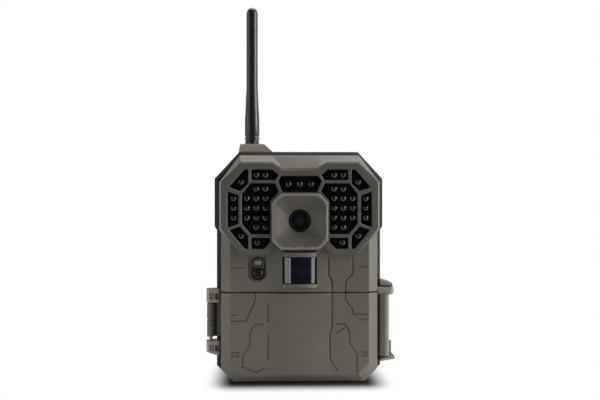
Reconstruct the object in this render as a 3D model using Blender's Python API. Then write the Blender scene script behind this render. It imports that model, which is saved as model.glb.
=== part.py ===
"""Trail camera: a two-part weatherproof housing with a night-light head and a hinged battery door.

Lengths below are in millimetres and are turned into metres as each mesh is made.
The front faces -Y, +X is to the right of someone who looks at the front, and +Z is up.
"""
import bpy
import bmesh
import math
from mathutils import Matrix, Vector

MM = 0.001
GAP = 0.3                # clearance between neighbouring pieces

# Heights above the ground.
TOP_REAR = 146.0         # top of the rear housing
TOP_FRONT = 143.1        # top of the front housing
SEAM = 56.9              # joint line between the front housing and the door
WAIST = 96.6             # where the head narrows to the lower body
DOOR_BOTTOM = 0.5

# Depths, front to back.
HOOD_Y = -34.5           # front rim of the lens hood, the foremost edge
RIM_Y = -32.5            # flat rim of the head
FACE_Y = -29.0           # flat panels of the lower body
BULGE = 1.5              # how far the middle panel swells forward
HEAD_SHOULDER = -25.0    # where the head starts to slant in towards its rim
FLANGE = 0.7             # thickness of the bezel's edge, which covers the joint round it
FACET_Y = -24.0          # back edge of the slanted side facets
PART_Y = -13.0           # parting line between the front pieces and the rear housing
BACK_Y = 27.5            # outside of the back wall
REACH_Y = 34.5           # outside of the strap bars, the rearmost face

# Half widths.
LOWER_HALF = 49.4        # door and lower front
FACE_HALF = 43.6         # flat part of the lower front, between the side facets
PANEL_HALF = 19.8        # swelling middle panel
HEAD_HALF = 50.6
REAR_HALF = 52.6
REAR_HEAD_HALF = 54.1
EAR_HALF = 60.8          # outermost edge of the latch ears

WALL = 2.5
SHELF = (57.6, 59.4)     # floor between the electronics and the battery bay

# Lens and its hood.
LENS = (0.0, 102.0)
HOOD_HALF = 17.6
HOOD_TOP = 119.2
HOOD_BOTTOM = 84.0
HOOD_CHAMFER = 5.5
LENS_R = 7.0             # hole at the bottom of the funnel
FUNNEL_DEPTH = 5.0

# Hinge on the left, latch on the right.
HINGE = (-56.3, -15.6)
KNUCKLE_R = 2.7
BARREL_R = 2.35
PIN_R = 1.2
EAR_INNER = -49.9        # inner side of the hinge knuckles, clear of the swinging door
UPPER_KNUCKLE = (49.8, 58.4)
LOWER_KNUCKLE = (16.6, 25.5)
PIN_SHOWS = 2.6          # bare pin between the lower knuckle and the barrel
LATCH = (55.4, -8.6)
LATCH_R = 2.5
LATCH_SPAN = (16.0, 55.0)
LATCH_EAR = (55.3, 59.6)  # heights of the upper latch ear
LATCH_EAR_Y = -21.0       # front of both latch ears

# Motion sensor window, and the pill-shaped bezel beside it.
PIR_HALF = 10.4
PIR_BULGE = 3.6
PIR_Z = (62.8, 79.2)
PILL_X = -26.0
PILL_Z = (65.1, 79.0)
PILL_HALF = 3.75

# Moulded panel lines on the front, as paths of (x, height) on the flat face.
GROOVE_WIDTH = 1.1
GROOVE_DEPTH = 0.6
WAIST_GROOVES = [
    [(18.2, 79.6), (18.2, 67.7), (20.4, 64.3), (20.4, SEAM - 2)],
    [(33.4, 79.6), (33.4, 69.2), (28.9, 64.4), (28.7, SEAM - 2)],
    [(36.8, 73.2), (42.9, 73.2)],
    [(-42.9, 72.6), (-34.0, 72.6)],
]
DOOR_GROOVES = [
    [(-27.8, SEAM + 2), (-27.8, 52.2), (-32.1, 42.9), (-33.5, 39.3), (-42.9, 39.3)],
    [(-42.9, 43.1), (-38.8, 43.1)],
    [(-22.5, 37.2), (-28.2, 37.2), (-31.2, 32.2), (-31.2, 24.1), (-35.3, 18.8), (-36.0, 10.4), (-33.5, 9.8),
     (-27.7, 6.9), (-21.9, 9.8)],
    [(-19.8, 49.7), (-19.8, 38.7)],
    [(-19.8, 30.5), (-19.8, 14.8)],
    [(-43.0, 19.6), (-37.7, 19.6)],
    [(-43.0, 17.4), (-37.7, 17.4)],
    [(28.7, SEAM + 2), (28.7, 52.1), (33.3, 46.3), (33.3, 43.4), (42.9, 43.4)],
    [(37.1, 40.4), (42.9, 40.4)],
    [(22.3, 37.2), (28.0, 37.2), (31.2, 32.8), (31.3, 24.7), (35.1, 19.4), (35.9, 17.1), (35.9, 6.4)],
    [(38.0, 19.6), (42.9, 19.6)],
    [(38.0, 17.4), (42.9, 17.4)],
    [(22.4, 31.6), (28.0, 34.7)],
    [(20.4, SEAM + 2), (20.4, 35.9), (18.9, 30.9), (18.9, 14.9), (23.4, 8.5)],
]

# Antenna.
ANTENNA = (-30.2, 4.0)
BOSS_TOP = 151.2
ANTENNA_TIP = 241.5

# Back and underside: strap bars, tripod thread, power socket and case screws.
STRAP_Z = (56.0, 84.0)
STRAP_X = (33.0, 42.0)
STRAP_Y = 32.3
TRIPOD = (0.0, 8.0)
PORT = (-26.0, 12.0)
SCREWS = [(-34.0, 136.0), (34.0, 136.0), (-46.0, 30.0), (46.0, 30.0)]

# Light emitters: small domes on a 6 mm pitch, as (row height, distances from the middle).
LED_R = 2.0
LED_TIP = -32.4          # foremost point of a dome, just behind the rim
LED_STEPS = 8
SIDE_LEDS = [(130.6, (21.4, 27.2)), (126.3, (36.6,)), (122, (21.4, 27.2)), (116, (21.4, 27.2, 33, 41.2)),
             (110, (21.4, 27.2, 33, 41.2)), (104, (21.4, 27.2, 33, 41.2)), (98, (21.4, 27.2)),
             (92.6, (36.5,)), (88.5, (26.6,))]
TOP_LEDS = [(125, (-7, 0, 7))]

# Windows of one side of the head, as corners (distance from the middle, height).
SIDE_WINDOWS = [
    [(34.6, 134.0), (32.2, 134.0), (32.2, 125.1), (37.3, 120.6), (44.1, 123.1)],
    [(30.2, 134.0), (17.2, 134.0), (13.2, 130.6), (15.2, 127.4), (30.2, 127.4)],
    [(45.0, 120.2), (38.2, 117.9), (38.2, 100.3), (45.0, 98.0)],
    [(43.9, 96.3), (37.3, 98.5), (32.2, 92.5), (32.2, 84.6), (34.3, 84.6)],
    [(30.2, 91.5), (18.4, 91.5), (18.4, 88.6), (22.4, 84.6), (30.2, 84.6)],
    [(30.9, 125.4), (15.4, 125.4), (13.1, 120.1), (18.4, 114.4), (18.4, 93.7), (30.4, 93.7),
     (36.1, 100.3), (36.1, 118.7)],
]
TOP_WINDOW = [(11.7, 129.9), (13.5, 126.9), (10.9, 119.9), (-10.9, 119.9), (-13.5, 126.9), (-11.7, 129.9)]

# Battery bay: six AA cells in two layers of three, and a control column beside them.
CELL_R = 7.1
CELL_LENGTH = 50.0
CELL_PITCH = 14.5
TRAY_X = (-46.4, 11.6)
TRAY_Z = (7.4, 54.2)
TRAY_Y = (-8.2, 22.8)
PANEL_X = (12.0, 48.4)
PANEL_Z = (3.6, 56.6)
PANEL_Y = (-7.0, -4.6)
BUTTON_R = 2.6
BUTTONS = {"button_menu": (17.6, 26.0), "button_up": (26.2, 28.4), "button_down": (26.2, 20.6),
           "button_ok": (34.8, 26.0)}
SCREEN_HOLE = ((15.4, 45.0), (33.6, 51.4))
SWITCH_HOLE = ((14.6, 25.0), (5.4, 9.8))
CARD_HOLE = ((20.4, 45.6), (13.0, 15.8))
USB_HOLE = ((34.0, 42.6), (5.6, 9.6))


def linear(value):
    """One colour channel written 0-255, as a linear value."""
    value /= 255
    if value <= 0.04045:
        return value / 12.92
    return ((value + 0.055) / 1.055) ** 2.4


def material(name, rgb, roughness, metallic=0.0):
    made = bpy.data.materials.new(name)
    made.use_nodes = True
    shader = made.node_tree.nodes["Principled BSDF"]
    shader.inputs["Base Color"].default_value = [linear(c) for c in rgb] + [1]
    shader.inputs["Roughness"].default_value = roughness
    shader.inputs["Metallic"].default_value = metallic
    return made


def clear_scene():
    for item in list(bpy.data.objects):
        bpy.data.objects.remove(item)


def prism(bm, outline, axis, low, high):
    """Extrude a flat outline along an axis. X takes (y, z) corners, Y (x, z) and Z (x, y)."""
    order = {"X": (2, 0, 1), "Y": (0, 2, 1), "Z": (0, 1, 2)}[axis]
    ring = []
    for corner in outline:
        values = (corner[0], corner[1], low)
        ring.append(bm.verts.new([values[i] * MM for i in order]))
    grown = bmesh.ops.extrude_face_region(bm, geom=[bm.faces.new(ring)])
    moved = [item for item in grown["geom"] if isinstance(item, bmesh.types.BMVert)]
    step = Vector({"X": (1, 0, 0), "Y": (0, 1, 0), "Z": (0, 0, 1)}[axis])
    bmesh.ops.translate(bm, vec=step * (high - low) * MM, verts=moved)


def box(bm, x, y, z):
    """A block given by its low and high x, y and z."""
    corners = [(x[0], y[0]), (x[1], y[0]), (x[1], y[1]), (x[0], y[1])]
    prism(bm, corners, "Z", z[0], z[1])


def loft(bm, sections):
    """Skin between outlines with equal counts, given as (y, outline), and cap both ends."""
    rings = []
    for y, outline in sections:
        rings.append([bm.verts.new((x * MM, y * MM, z * MM)) for x, z in outline])
    count = len(rings[0])
    for near, far in zip(rings, rings[1:]):
        for i in range(count):
            j = (i + 1) % count
            bm.faces.new((near[i], near[j], far[j], far[i]))
    bm.faces.new(rings[0])
    bm.faces.new(rings[-1])


def turn(bm, profile, centre, axis="Z", steps=24):
    """Revolve a profile of (radius, height) about an axis through a centre point."""
    line = [bm.verts.new((r * MM, 0, h * MM)) for r, h in profile]
    edges = [bm.edges.new(pair) for pair in zip(line, line[1:])]
    if profile[0][0] > 0:
        edges.append(bm.edges.new((line[-1], line[0])))
    bmesh.ops.spin(bm, geom=line + edges, cent=(0, 0, 0), axis=(0, 0, 1),
                   angle=math.tau, steps=steps, use_merge=True)
    fresh = walk(line)
    bmesh.ops.remove_doubles(bm, verts=fresh, dist=1e-7)
    fresh = [v for v in fresh if v.is_valid]
    turned = {"X": Matrix.Rotation(math.pi / 2, 4, "Y"), "Y": Matrix.Rotation(-math.pi / 2, 4, "X"),
              "Z": Matrix.Identity(4)}[axis]
    bmesh.ops.transform(bm, matrix=Matrix.Translation(Vector(centre) * MM) @ turned, verts=fresh)


def walk(starts):
    """Every vertex joined to the given ones."""
    found = set(starts)
    queue = list(starts)
    while queue:
        for edge in queue.pop().link_edges:
            for vert in edge.verts:
                if vert not in found:
                    found.add(vert)
                    queue.append(vert)
    return list(found)


def finish(bm, name, look, smooth=None):
    """Turn a mesh in progress into a named object with outward faces."""
    bmesh.ops.recalc_face_normals(bm, faces=bm.faces[:])
    mesh = bpy.data.meshes.new(name)
    bm.to_mesh(mesh)
    bm.free()
    if look:
        mesh.materials.append(look)
    if smooth:
        mesh.shade_smooth()
        mesh.set_sharp_from_angle(angle=math.radians(smooth))
    made = bpy.data.objects.new(name, mesh)
    bpy.context.collection.objects.link(made)
    return made


def combine(target, bm, operation="DIFFERENCE"):
    """Cut a shape out of an object, or join it on, with a live Boolean."""
    tool = finish(bm, target.name + "_tool", None)
    tool.hide_render = True
    tool.display_type = "WIRE"
    boolean = target.modifiers.new("Boolean", "BOOLEAN")
    boolean.operation = operation
    boolean.object = tool
    boolean.solver = "EXACT"


def mirrored(outline):
    return [(-x, z) for x, z in reversed(outline)]


def both_sides(half):
    """Close a right half outline, listed top to bottom, with its mirror image."""
    return half + mirrored(half)


def inset(outline, distance):
    """Move every edge of an outline towards its inside, keeping the corner count."""
    area = sum(a[0] * b[1] - b[0] * a[1] for a, b in zip(outline, outline[1:] + outline[:1]))
    side = 1 if area > 0 else -1
    moved = []
    count = len(outline)
    for i in range(count):
        before, here, after = (Vector(outline[(i + k) % count]) for k in (-1, 0, 1))
        first = (here - before).normalized()
        second = (after - here).normalized()
        normal_a = Vector((-first.y, first.x)) * side
        normal_b = Vector((-second.y, second.x)) * side
        bisector = normal_a + normal_b
        moved.append(tuple(here + bisector * (distance / (1 + normal_a.dot(normal_b)))))
    return moved


def ribbon(path, width):
    """The outline of a narrow band along a path, with mitred corners."""
    left = []
    right = []
    points = [Vector(p) for p in path]
    for i, here in enumerate(points):
        ahead = points[i + 1] - here if i + 1 < len(points) else here - points[i - 1]
        behind = here - points[i - 1] if i else ahead
        ahead = ahead.normalized()
        behind = behind.normalized()
        across = Vector((-ahead.y - behind.y, ahead.x + behind.x))
        shift = across * (width / 2 / (1 + ahead.dot(behind)))
        left.append(tuple(here + shift))
        right.append(tuple(here - shift))
    return left + right[::-1]


def cut_grooves(target, paths):
    """Cut moulded panel lines into the flat front face."""
    for path in paths:
        bm = bmesh.new()
        prism(bm, ribbon(path, GROOVE_WIDTH), "Y", FACE_Y - 3, FACE_Y + GROOVE_DEPTH)
        combine(target, bm)


def arc(centre, radius, start, end, count):
    """Points on an arc, angles in degrees."""
    points = []
    for i in range(count + 1):
        angle = math.radians(start + (end - start) * i / count)
        points.append((centre[0] + radius * math.cos(angle), centre[1] + radius * math.sin(angle)))
    return points


def bow(half, depth, y, count=8):
    """Points of a shallow arc from -half to +half that swells towards -Y."""
    radius = (half * half + depth * depth) / (2 * depth)
    spread = math.degrees(math.asin(half / radius))
    return arc((0, y - depth + radius), radius, -90 - spread, -90 + spread, count)


def moved_object(target, pivot):
    """Put an object's origin on its joint without moving its mesh."""
    shift = Vector(pivot) * MM
    target.data.transform(Matrix.Translation(-shift))
    target.location = shift


def lower_profile(shrink=0.0):
    """Plan view of the door and lower front: slanted side facets and a swelling middle panel."""
    side = LOWER_HALF - shrink
    face = FACE_HALF - shrink * 0.6
    front = FACE_Y + shrink
    return ([(-side, PART_Y - GAP), (-side, FACET_Y + shrink * 0.4), (-face, front)]
            + bow(PANEL_HALF, BULGE, front)
            + [(face, front), (side, FACET_Y + shrink * 0.4), (side, PART_Y - GAP)])


def hood_outline(grow=0.0):
    edge = HOOD_HALF + grow
    cut = HOOD_CHAMFER + grow * 0.6
    top = HOOD_TOP + grow
    bottom = HOOD_BOTTOM - grow
    return [(-edge + cut, top), (edge - cut, top), (edge, top - cut), (edge, bottom + cut),
            (edge - cut, bottom), (-edge + cut, bottom), (-edge, bottom + cut), (-edge, top - cut)]


HEAD_OUTER = both_sides([(10.9, TOP_FRONT), (17.2, TOP_FRONT), (37.4, TOP_FRONT), (HEAD_HALF, 126.2),
                         (HEAD_HALF, WAIST), (37.6, 80.3), (19.6, 80.3), (15.6, 84.3)])
HEAD_RIM = both_sides([(10.7, 133.4), (17.0, 137.9), (36.9, 137.9), (47.0, 126.4),
                       (47.0, 97.3), (36.4, 81.6), (20.3, 81.6), (16.6, 85.2)])
BEZEL = both_sides([(10.3, 132.3), (16.7, 136.8), (36.4, 136.8), (46.2, 125.9),
                    (46.2, 97.6), (36.0, 82.4), (20.8, 82.4), (17.4, 85.8)])
REAR_OUTLINE = both_sides([(38.1, TOP_REAR), (REAR_HEAD_HALF, 128.7), (REAR_HEAD_HALF, 98.0),
                           (REAR_HALF, 95.8), (REAR_HALF, 8.9), (43.4, 0.0)])


def head_section(y):
    """Outline of the head's slanted part at a depth."""
    share = (y - RIM_Y) / (HEAD_SHOULDER - RIM_Y)
    return [(a[0] + (b[0] - a[0]) * share, a[1] + (b[1] - a[1]) * share)
            for a, b in zip(HEAD_RIM, HEAD_OUTER)]


def bay_mouth():
    """The battery bay's mouth, inside the walls of the rear housing and under the shelf."""
    side = REAR_HALF - WALL
    inner = inset(REAR_OUTLINE, WALL)
    return [(side, SHELF[0])] + [(x, z) for x, z in inner if z < SHELF[0]] + [(-side, SHELF[0])]


def rear_housing(look):
    """The back shell: a deep tray with a shelf, hinge and latch ears, antenna boss and strap bars."""
    bm = bmesh.new()
    prism(bm, REAR_OUTLINE, "Y", PART_Y, BACK_Y)
    shell = finish(bm, "rear_housing", look)
    chamfer = shell.modifiers.new("Back edge", "BEVEL")
    chamfer.width = 2.2 * MM
    chamfer.segments = 1
    chamfer.limit_method = "ANGLE"
    chamfer.angle_limit = math.radians(80)

    upper = [(x, z) for x, z in inset(REAR_OUTLINE, WALL) if z > SHELF[1]]
    half = len(upper) // 2
    upper = upper[:half] + [(REAR_HALF - WALL, SHELF[1]), (WALL - REAR_HALF, SHELF[1])] + upper[half:]
    for outline in (upper, bay_mouth()):
        bm = bmesh.new()
        prism(bm, outline, "Y", PART_Y - 10, BACK_Y - WALL)
        combine(shell, bm)

    bm = bmesh.new()
    boss = [(-38.8, TOP_REAR - 1), (-37.8, BOSS_TOP), (-22.4, BOSS_TOP), (-17.0, TOP_REAR + 0.4),
            (-17.0, TOP_REAR - 1)]
    prism(bm, boss, "Y", -9.0, 13.0)
    combine(shell, bm, "UNION")

    for low, high in (UPPER_KNUCKLE, LOWER_KNUCKLE):
        bm = bmesh.new()
        ear = arc(HINGE, KNUCKLE_R, 180, 270, 6)
        inside = WALL - REAR_HALF - GAP
        ear += [(EAR_INNER - 1.2, HINGE[1] - KNUCKLE_R), (EAR_INNER, HINGE[1] - 1.4),
                (EAR_INNER, PART_Y - GAP), (inside, PART_Y), (inside, -4.0), (HINGE[0] - KNUCKLE_R, -9.5)]
        prism(bm, ear, "Z", low, high)
        combine(shell, bm, "UNION")
        bm = bmesh.new()
        middle = (low + high) / 2
        hook = [(-56.6, middle + 1.9), (-55.8, middle + 1.9), (-55.8, middle - 1.0), (-54.8, middle - 1.0),
                (-54.8, middle + 1.9), (-54.0, middle + 1.9), (-54.0, middle - 1.9), (-56.6, middle - 1.9)]
        prism(bm, hook, "Y", HINGE[1] - 4.0, HINGE[1] - PIN_R - 2 * GAP)
        box(bm, (-53.1, -50.5), (HINGE[1] - 4.0, HINGE[1] - PIN_R - 2 * GAP), (middle - 2.0, middle + 1.6))
        combine(shell, bm)
        bm = bmesh.new()
        for left in (-53.1, -52.1, -51.1):
            box(bm, (left, left + 0.6), (HINGE[1] - 4.0, HINGE[1] - 0.4), (middle - 2.0, middle + 1.6))
        combine(shell, bm)
    bm = bmesh.new()
    slant = [(-60.0, 14.0), (-60.0, LOWER_KNUCKLE[0] + 2.2), (-REAR_HALF - 0.1, LOWER_KNUCKLE[0] - 0.1),
             (-REAR_HALF - 0.1, 14.0)]
    prism(bm, slant, "Y", -20.0, 0.0)
    combine(shell, bm)

    root = REAR_HALF - 1.0
    bm = bmesh.new()
    ear = [(LOWER_HALF + 0.5, PART_Y - GAP), (LOWER_HALF + 0.5, LATCH_EAR_Y), (EAR_HALF - 2.0, LATCH_EAR_Y),
           (EAR_HALF - 0.4, LATCH_EAR_Y + 1.6), (EAR_HALF, -10.4), (EAR_HALF, 0.4), (root, 2.0),
           (root, PART_Y - GAP)]
    prism(bm, ear, "Z", *LATCH_EAR)
    combine(shell, bm, "UNION")
    for outline, front in (([(root, 12.4), (EAR_HALF, 14.0), (EAR_HALF, LATCH_SPAN[0] - GAP), (root, 14.4)],
                            LATCH_EAR_Y),
                           ([(root, 64.4), (EAR_HALF - 1.0, 61.8), (EAR_HALF - 1.0, 60.3), (root, 60.3)],
                            LATCH_EAR_Y + 3.0)):
        bm = bmesh.new()
        prism(bm, outline, "Y", front, 2.0)
        combine(shell, bm, "UNION")
    bm = bmesh.new()
    box(bm, (EAR_HALF - 3.0, EAR_HALF), (-3.4, 0.4), (15.2, 23.2))
    box(bm, (EAR_HALF - 2.4, EAR_HALF), (-3.4, 0.4), (53.2, LATCH_EAR[0] + 0.5))
    combine(shell, bm, "UNION")

    for side in (-1, 1):
        bm = bmesh.new()
        bar = [(STRAP_Z[0] - 5.0, BACK_Y - 1.0), (STRAP_Z[0] - 3.0, REACH_Y), (STRAP_Z[1] + 3.0, REACH_Y),
               (STRAP_Z[1] + 5.0, BACK_Y - 1.0), (STRAP_Z[1], BACK_Y - 1.0), (STRAP_Z[1], STRAP_Y),
               (STRAP_Z[0], STRAP_Y), (STRAP_Z[0], BACK_Y - 1.0)]
        bar = [(y, z) for z, y in bar]
        edges = sorted((side * STRAP_X[0], side * STRAP_X[1]))
        prism(bm, bar, "X", edges[0], edges[1])
        combine(shell, bm, "UNION")

    for place in [(*HINGE, UPPER_KNUCKLE[0] - 1, UPPER_KNUCKLE[1] - 1.0),
                  (*HINGE, LOWER_KNUCKLE[0] + 1.0, LOWER_KNUCKLE[1] + 1)]:
        bm = bmesh.new()
        turn(bm, [(0, place[2]), (PIN_R + GAP, place[2]), (PIN_R + GAP, place[3]), (0, place[3])],
             (place[0], place[1], 0), steps=16)
        combine(shell, bm)
    bm = bmesh.new()
    turn(bm, [(0, 10.0), (PIN_R + GAP, 10.0), (PIN_R + GAP, 60.0), (0, 60.0)], (*LATCH, 0), steps=16)
    combine(shell, bm)
    bm = bmesh.new()
    turn(bm, [(0, 140), (4.3, 140), (4.3, BOSS_TOP + 2), (0, BOSS_TOP + 2)], (*ANTENNA, 0), steps=20)
    combine(shell, bm)
    bm = bmesh.new()
    turn(bm, [(0, -1), (4.6, -1), (4.6, 4), (0, 4)], (*TRIPOD, 0), steps=20)
    combine(shell, bm)
    bm = bmesh.new()
    box(bm, (PORT[0] - 6.4, PORT[0] + 6.4), (PORT[1] - 5.4, PORT[1] + 7.4), (-1, 1.9))
    combine(shell, bm)
    bm = bmesh.new()
    turn(bm, [(0, 1), (3.6, 1), (3.6, 4), (0, 4)], (*PORT, 0), steps=16)
    combine(shell, bm)
    for x, z in SCREWS:
        bm = bmesh.new()
        turn(bm, [(0, 1), (3.1, 1), (3.1, -2.0), (1.5, -2.0), (1.5, -6), (0, -6)], (x, BACK_Y, z), "Y", 16)
        combine(shell, bm)


def front_housing(look):
    """The fixed front: an octagonal head over the waist that holds the motion sensor."""
    bm = bmesh.new()
    prism(bm, lower_profile(), "Z", SEAM + GAP, 112)
    shell = finish(bm, "front_housing", look)
    bm = bmesh.new()
    edge = RIM_Y + FLANGE + GAP
    loft(bm, [(PART_Y - GAP, HEAD_OUTER), (HEAD_SHOULDER, HEAD_OUTER), (edge, head_section(edge))])
    combine(shell, bm, "UNION")
    bm = bmesh.new()
    turret = bow(PIR_HALF + 1.6, PIR_BULGE + 0.9, FACE_Y) + [(PIR_HALF + 1.6, -26), (-PIR_HALF - 1.6, -26)]
    prism(bm, turret, "Z", 60.1, 82.2)
    combine(shell, bm, "UNION")

    bm = bmesh.new()
    prism(bm, inset(BEZEL, -GAP), "Y", RIM_Y - 5, PART_Y + 5)
    combine(shell, bm)
    bm = bmesh.new()
    hollow = [(x, max(y, FACE_Y + WALL)) for x, y in lower_profile(WALL)]
    hollow = [(x, y if y < PART_Y - 1 else PART_Y + 5) for x, y in hollow if abs(x) > PANEL_HALF + 1]
    prism(bm, hollow, "Z", SHELF[1], 112)
    combine(shell, bm)
    bm = bmesh.new()
    prism(bm, hood_outline(GAP), "Y", HOOD_Y - 2, FACE_Y + WALL + 1)
    combine(shell, bm)
    bm = bmesh.new()
    box(bm, (-PIR_HALF - GAP, PIR_HALF + GAP), (-40, -27.6), (PIR_Z[0] - GAP, PIR_Z[1] + GAP))
    combine(shell, bm)
    bm = bmesh.new()
    box(bm, (-PIR_HALF + 1.2, PIR_HALF - 1.2), (-32, -24), (PIR_Z[0] + 1.2, PIR_Z[1] - 1.2))
    combine(shell, bm)
    bm = bmesh.new()
    recess = [(-32.3, 80.0), (-21.1, 80.0), (-21.1, 67.4), (-24.2, 64.0), (-29.2, 64.0), (-32.3, 67.4)]
    prism(bm, recess, "Y", -32, FACE_Y + 0.8)
    combine(shell, bm)
    bm = bmesh.new()
    prism(bm, pill_outline(GAP), "Y", -32, -20)
    combine(shell, bm)
    bm = bmesh.new()
    box(bm, (-10.0, 10.0), (-34, FACE_Y + 0.6), (82.4, 83.6))
    combine(shell, bm)
    cut_grooves(shell, WAIST_GROOVES)


def pill_outline(grow=0.0):
    radius = PILL_HALF + grow
    low = (PILL_X, PILL_Z[0] + PILL_HALF)
    high = (PILL_X, PILL_Z[1] - PILL_HALF)
    return arc(low, radius, 180, 360, 10) + arc(high, radius, 0, 180, 10)


def head_pieces(tan, black, board):
    """Bezel with its ribs, the dark windows behind it, and the emitters on their boards."""
    bm = bmesh.new()
    loft(bm, [(RIM_Y, HEAD_RIM), (RIM_Y + FLANGE, head_section(RIM_Y + FLANGE))])
    bezel = finish(bm, "ir_bezel", tan)
    bm = bmesh.new()
    prism(bm, BEZEL, "Y", RIM_Y + FLANGE - 0.2, RIM_Y + 2.4)
    combine(bezel, bm, "UNION")
    bm = bmesh.new()
    prism(bm, hood_outline(GAP), "Y", RIM_Y - 2, RIM_Y + 5)
    combine(bezel, bm)
    for outline in [TOP_WINDOW] + SIDE_WINDOWS + [mirrored(w) for w in SIDE_WINDOWS]:
        bm = bmesh.new()
        prism(bm, outline, "Y", RIM_Y - 2, RIM_Y + 5)
        combine(bezel, bm)

    pad_front = RIM_Y + 1.2
    plate = (RIM_Y + 2.4 + GAP, RIM_Y + 3.9)
    board_y = (plate[1] + GAP, plate[1] + GAP + 1.6)
    side_plate = [(16.6, 135.8), (35.9, 135.8), (45.2, 125.5), (45.2, 98.0), (35.4, 83.4), (21.2, 83.4),
                  (18.2, 86.4), (18.2, 114.2), (12.7, 120.2), (14.9, 125.5), (14.7, 127.3), (12.7, 130.8),
                  (12.4, 132.6)]
    top_plate = inset(TOP_WINDOW, -0.4)
    for name, flip in (("ir_window_left", True), ("ir_window_right", False)):
        bm = bmesh.new()
        prism(bm, mirrored(side_plate) if flip else side_plate, "Y", *plate)
        window = finish(bm, name, black)
        for outline in SIDE_WINDOWS:
            outline = inset(outline, GAP)
            bm = bmesh.new()
            prism(bm, mirrored(outline) if flip else outline, "Y", pad_front, plate[0] + 0.4)
            combine(window, bm, "UNION")
        pierce(window, -1 if flip else 1, SIDE_LEDS, pad_front)
    bm = bmesh.new()
    prism(bm, top_plate, "Y", *plate)
    window = finish(bm, "ir_window_top", black)
    bm = bmesh.new()
    prism(bm, inset(TOP_WINDOW, GAP), "Y", pad_front, plate[0] + 0.4)
    combine(window, bm, "UNION")
    pierce(window, 1, TOP_LEDS, pad_front)

    reach = board_y[0] - LED_TIP
    dome = [(0, reach), (0.9, reach - 0.25), (1.6, reach - 0.8), (LED_R, reach - 1.8), (LED_R, -0.4), (0, -0.4)]
    groups = {"led_board_left": (mirrored(inset(side_plate, 0.5)), -1, SIDE_LEDS),
              "led_board_right": (inset(side_plate, 0.5), 1, SIDE_LEDS),
              "led_board_top": ([(12.9, 129.6), (-12.9, 129.6), (-12.4, 120.4), (12.4, 120.4)], 1, TOP_LEDS)}
    for name, (outline, side, rows) in groups.items():
        bm = bmesh.new()
        prism(bm, outline, "Y", *board_y)
        carrier = finish(bm, name, board)
        bm = bmesh.new()
        for height, places in rows:
            for x in places:
                turn(bm, [(r, -h) for r, h in dome], (side * x, board_y[0], height), "Y", LED_STEPS)
        combine(carrier, bm, "UNION")


def pierce(window, side, rows, front):
    """Drill a dark window for the domes behind it."""
    bm = bmesh.new()
    radius = LED_R + GAP
    for height, places in rows:
        for x in places:
            turn(bm, [(0, -2), (radius, -2), (radius, 5), (0, 5)], (side * x, front, height), "Y", LED_STEPS)
    combine(window, bm)


def lens_pieces(tan, black, clear, board):
    """Funnel-shaped hood, lens barrel and glass, the night filter and the sensor board."""
    bm = bmesh.new()
    prism(bm, hood_outline(), "Y", HOOD_Y, -27.0)
    hood = finish(bm, "lens_hood", tan)
    count = 32
    rim = inset(hood_outline(), 1.9)
    mouth = []
    for i in range(count):
        angle = math.tau * i / count
        ray = Vector((math.cos(angle), math.sin(angle)))
        mouth.append(hit(rim, LENS, ray))
    hole = [(LENS[0] + LENS_R * math.cos(math.tau * i / count),
             LENS[1] + LENS_R * math.sin(math.tau * i / count)) for i in range(count)]
    bm = bmesh.new()
    loft(bm, [(HOOD_Y - 1, mouth), (HOOD_Y, mouth), (HOOD_Y + FUNNEL_DEPTH, hole), (-20, hole)])
    combine(hood, bm)

    centre = (LENS[0], 0, LENS[1])
    bm = bmesh.new()
    turn(bm, [(5.2, -28.6), (6.6, -28.6), (6.6, -18.6), (4.6, -18.6), (4.6, -25.6), (5.2, -25.6)], centre,
         "Y", 32)
    finish(bm, "lens_barrel", black, 40)
    bm = bmesh.new()
    glass = [(0, -28.4), (1.6, -28.25), (3.1, -27.7), (4.9, -26.6), (4.9, -25.95), (0, -25.95)]
    turn(bm, glass, centre, "Y", 24)
    finish(bm, "lens_glass", clear, 60)
    bm = bmesh.new()
    box(bm, (-12.0, 6.0), (-18.0, -17.2), (96.6, 107.4))
    filt = finish(bm, "ir_cut_filter", clear)
    moved_object(filt, (-3.0, -17.6, 102.0))
    bm = bmesh.new()
    box(bm, (-15.0, 15.0), (-16.0, -14.6), (89.0, 115.0))
    sensor = finish(bm, "sensor_board", board)
    bm = bmesh.new()
    box(bm, (-4.5, 4.5), (-16.6, -15.8), (97.5, 106.5))
    combine(sensor, bm, "UNION")


def hit(outline, centre, ray):
    """Where a ray from the centre meets an outline."""
    start = Vector(centre)
    for a, b in zip(outline, outline[1:] + outline[:1]):
        edge = Vector(b) - Vector(a)
        cross = ray.x * edge.y - ray.y * edge.x
        if abs(cross) < 1e-9:
            continue
        gap = Vector(a) - start
        along = (gap.x * edge.y - gap.y * edge.x) / cross
        share = (gap.x * ray.y - gap.y * ray.x) / cross
        if along > 0 and -1e-9 <= share <= 1 + 1e-9:
            return tuple(start + ray * along)


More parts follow.
